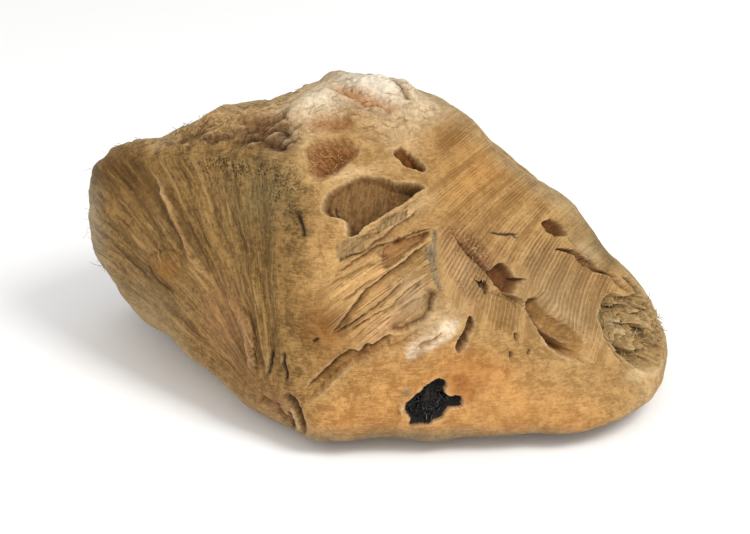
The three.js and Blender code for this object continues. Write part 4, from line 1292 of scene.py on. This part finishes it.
def strewingTree():
    # points on the surface, each with a bent and tapered sliver leaning over it
    tree = bpy.data.node_groups.new("strewnSlivers", "GeometryNodeTree")
    sockets = {"Surface": "Geometry"}
    for label in ("Per square metre", "Length", "Thickness", "Bend", "Least size", "Most size", "Least lean",
                  "Most lean"):
        sockets[label] = "Float"
    for label, kind in {**sockets, "Seed": "Int", "Look": "Material"}.items():
        tree.interface.new_socket(label, in_out="INPUT", socket_type="NodeSocket" + kind)
    tree.interface.new_socket("Slivers", in_out="OUTPUT", socket_type="NodeSocketGeometry")
    given = {socket.name: Signal(tree, socket) for socket in tree.nodes.new("NodeGroupInput").outputs}
    one = Signal(tree)

    def drawn(least, most, shift):
        # a number for each sliver
        return one.node("FunctionNodeRandomValue", {"data_type": "FLOAT"}, {
            2: least, 3: most, "Seed": given["Seed"] + shift}, out=1)

    bent = given["Length"] * given["Bend"]
    middle = one.node("ShaderNodeCombineXYZ", None, {2: given["Length"] * sliver["middle"]})
    tip = one.node("ShaderNodeCombineXYZ", None, {
        0: bent, 1: bent * sliver["sideways"], 2: given["Length"] * sliver["tip"]})
    spine = one.node("GeometryNodeCurveQuadraticBezier", None, {
        "Resolution": sliver["runs"], "Start": (0, 0, 0), "Middle": middle, "End": tip})
    taper = 1 - sliver["taper"] * one.node("GeometryNodeSplineParameter")
    spine = one.node("GeometryNodeSetCurveRadius", None, {"Curve": spine, "Radius": taper})
    ring = one.node("GeometryNodeCurvePrimitiveCircle", None, {
        "Resolution": sliver["sides"], "Radius": given["Thickness"]})
    tapered = one.node("GeometryNodeCurveToMesh", None, {
        "Curve": spine, "Profile Curve": ring, "Fill Caps": True})
    spots = one.node("GeometryNodeDistributePointsOnFaces", None, {
        "Mesh": given["Surface"], "Density": given["Per square metre"], "Seed": given["Seed"]})
    normal = Signal(tree, spots.socket.node.outputs["Normal"])
    upright = one.node("FunctionNodeAlignRotationToVector", {"axis": "Z"}, {"Vector": normal})
    leaning = one.node("ShaderNodeCombineXYZ", None, {
        0: drawn(given["Least lean"], given["Most lean"], 1), 2: drawn(-math.pi, math.pi, 2)})
    turn = one.node("FunctionNodeEulerToRotation", None, {0: leaning})
    turned = one.node("FunctionNodeRotateRotation", {"rotation_space": "LOCAL"}, {0: upright, 1: turn})
    slivers = one.node("GeometryNodeInstanceOnPoints", None, {
        "Points": spots, "Instance": tapered, "Rotation": turned,
        "Scale": drawn(given["Least size"], given["Most size"], 3)})
    slivers = one.node("GeometryNodeRealizeInstances", None, {0: slivers})
    slivers = one.node("GeometryNodeSetMaterial", None, {"Geometry": slivers, "Material": given["Look"]})
    tree.links.new(slivers.socket, tree.nodes.new("NodeGroupOutput").inputs["Slivers"])
    return tree


def strewOver(name, tree, chosen):
    kind = strewn[name]
    metre = rootPlace["metre"]
    mesh, _ = partOfWood(name + "Ground", chosen)
    ground = placed(name + "Ground", mesh)
    area = sum(face.area for face in mesh.polygons)
    modifier = ground.modifiers.new("strewing", "NODES")
    modifier.node_group = tree
    values = {
        "Per square metre": kind["count"] / area, "Bend": kind["bend"], "Seed": kind["seed"],
        "Length": kind["length"] * metre, "Thickness": kind["thick"] * metre,
        "Least size": kind["size"][0], "Most size": kind["size"][1],
        "Least lean": math.radians(kind["lean"][0]), "Most lean": math.radians(kind["lean"][1]),
        "Look": makeStrewnLook(name + "Look", kind)}
    for item in tree.interface.items_tree:
        if item.in_out == "INPUT" and item.name in values:
            modifier[item.identifier] = values[item.name]
    plain = bpy.data.meshes.new_from_object(ground.evaluated_get(bpy.context.evaluated_depsgraph_get()))
    plain.name = name
    ground.modifiers.remove(modifier)
    bpy.data.objects.remove(ground)
    bpy.data.meshes.remove(mesh)
    piece = placed(name, plain)
    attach(piece, "root")
    print(name, "has", len(plain.polygons), "faces")


# the left rim, where a few fibres stick out: how far left, how high, and how much it still faces the viewer
leftRim = {"left": (136, 142), "up": (-20, 0), "facing": (-0.6, -0.2), "turned": 0.55, "turnedFade": 0.1}
facingUs = hewnNormals @ viewOut
leftRimShare = ease(-trueRight, *leftRim["left"]) * ease(trueUp, *leftRim["up"])
leftRimShare = leftRimShare * ease(facingUs, *leftRim["facing"])
leftRimShare = leftRimShare * ease(leftRim["turned"] - facingUs, 0, leftRim["turnedFade"])
shelfWall = woodTones["walls"]["shelf"]
strewing = strewingTree()
# where each is strewn, and the least share that all three corners of a face need
for pieceName, (shareThere, least) in {
    "rotFibres": (frontShare * inHollows("rotRim", "rottenEnd"), 0.3),
    "rimFibres": (leftRimShare, 0.5),
    "sawSplinters": (woodShares["splintery"], 0.5),
    "scoopFibres": (woodShares["scoop"], 0.2),
    "skinFibres": (frontShare * insideHollow(trueRight, trueUp, shelfRim, shelfWall), 0.3),
    "coalFlakes": (woodShares["char"], 0.95),
}.items():
    strewOver(pieceName, strewing, shareThere[woodTriangles].min(1) > least)

studio = {
    "floorHalf": 3.0, "floorTone": 0.94, "floorRough": 0.9, "floorShine": 0.1,
    "sky": 0.8,
    # place in metres, side, watts, warmth as red green blue
    "lamps": {
        "key": ((0.75, -0.5, 1.2), 0.6, 13, (1, 0.985, 0.96)),
        "fill": ((-0.9, -0.9, 0.9), 1.1, 2, (0.97, 0.985, 1)),
        "low": ((0.1, -1.3, 0.12), 0.6, 4.0, (1, 1, 1)),
    },
    "framePixels": (750, 534), "middlePixel": (377, 256), "millimetresPerPixel": 0.52,
    "sensor": 36, "clip": (0.05, 20),
}


def makeStudio():
    half = studio["floorHalf"]
    corners = [(x * half, y * half, 0) for x, y in ((-1, -1), (1, -1), (1, 1), (-1, 1))]
    mesh = bpy.data.meshes.new("floor")
    mesh.from_pydata(corners, [], [(0, 1, 2, 3)])
    look = bpy.data.materials.new("paleFloor")
    look.use_nodes = True
    shade = look.node_tree.nodes["Principled BSDF"]
    shade.inputs["Base Color"].default_value = (*[studio["floorTone"]] * 3, 1)
    shade.inputs["Roughness"].default_value = studio["floorRough"]
    shade.inputs["Specular IOR Level"].default_value = studio["floorShine"]
    mesh.materials.append(look)
    placed("floor", mesh)
    sky = bpy.data.worlds.new("softSky")
    sky.use_nodes = True
    sky.node_tree.nodes["Background"].inputs["Color"].default_value = (1, 1, 1, 1)
    sky.node_tree.nodes["Background"].inputs["Strength"].default_value = studio["sky"]
    bpy.context.scene.world = sky
    middle = Vector(rootPlace["middle"]) * rootPlace["metre"]
    for name, (at, side, watts, warmth) in studio["lamps"].items():
        lamp = bpy.data.lights.new(name, "AREA")
        lamp.size, lamp.energy, lamp.color = side, watts, warmth
        holder = placed(name, lamp)
        holder.location = at
        holder.rotation_euler = (middle - Vector(at)).to_track_quat("-Z", "Y").to_euler()


def makeCamera():
    # the photograph's scale at the root's middle, and its middle pixel on the root's middle
    wide, tall = studio["framePixels"]
    across, down = studio["middlePixel"]
    distance = rootPlace["viewDistance"]
    camera = bpy.data.cameras.new("front")
    camera.sensor_width = studio["sensor"]
    camera.lens = camera.sensor_width * distance / (wide * studio["millimetresPerPixel"])
    camera.shift_x = (wide / 2 - across) / wide
    camera.shift_y = (down - tall / 2) / wide
    camera.clip_start, camera.clip_end = studio["clip"]
    holder = placed("front", camera)
    holder.location = (Vector(rootPlace["middle"]) + Vector(viewOut) * distance) * rootPlace["metre"]
    holder.rotation_euler = (math.radians(90 - rootPlace["viewTilt"]), 0, 0)
    bpy.context.scene.camera = holder


makeStudio()
makeCamera()
bpy.context.scene.view_settings.view_transform = "Standard"
print("the studio is lit")
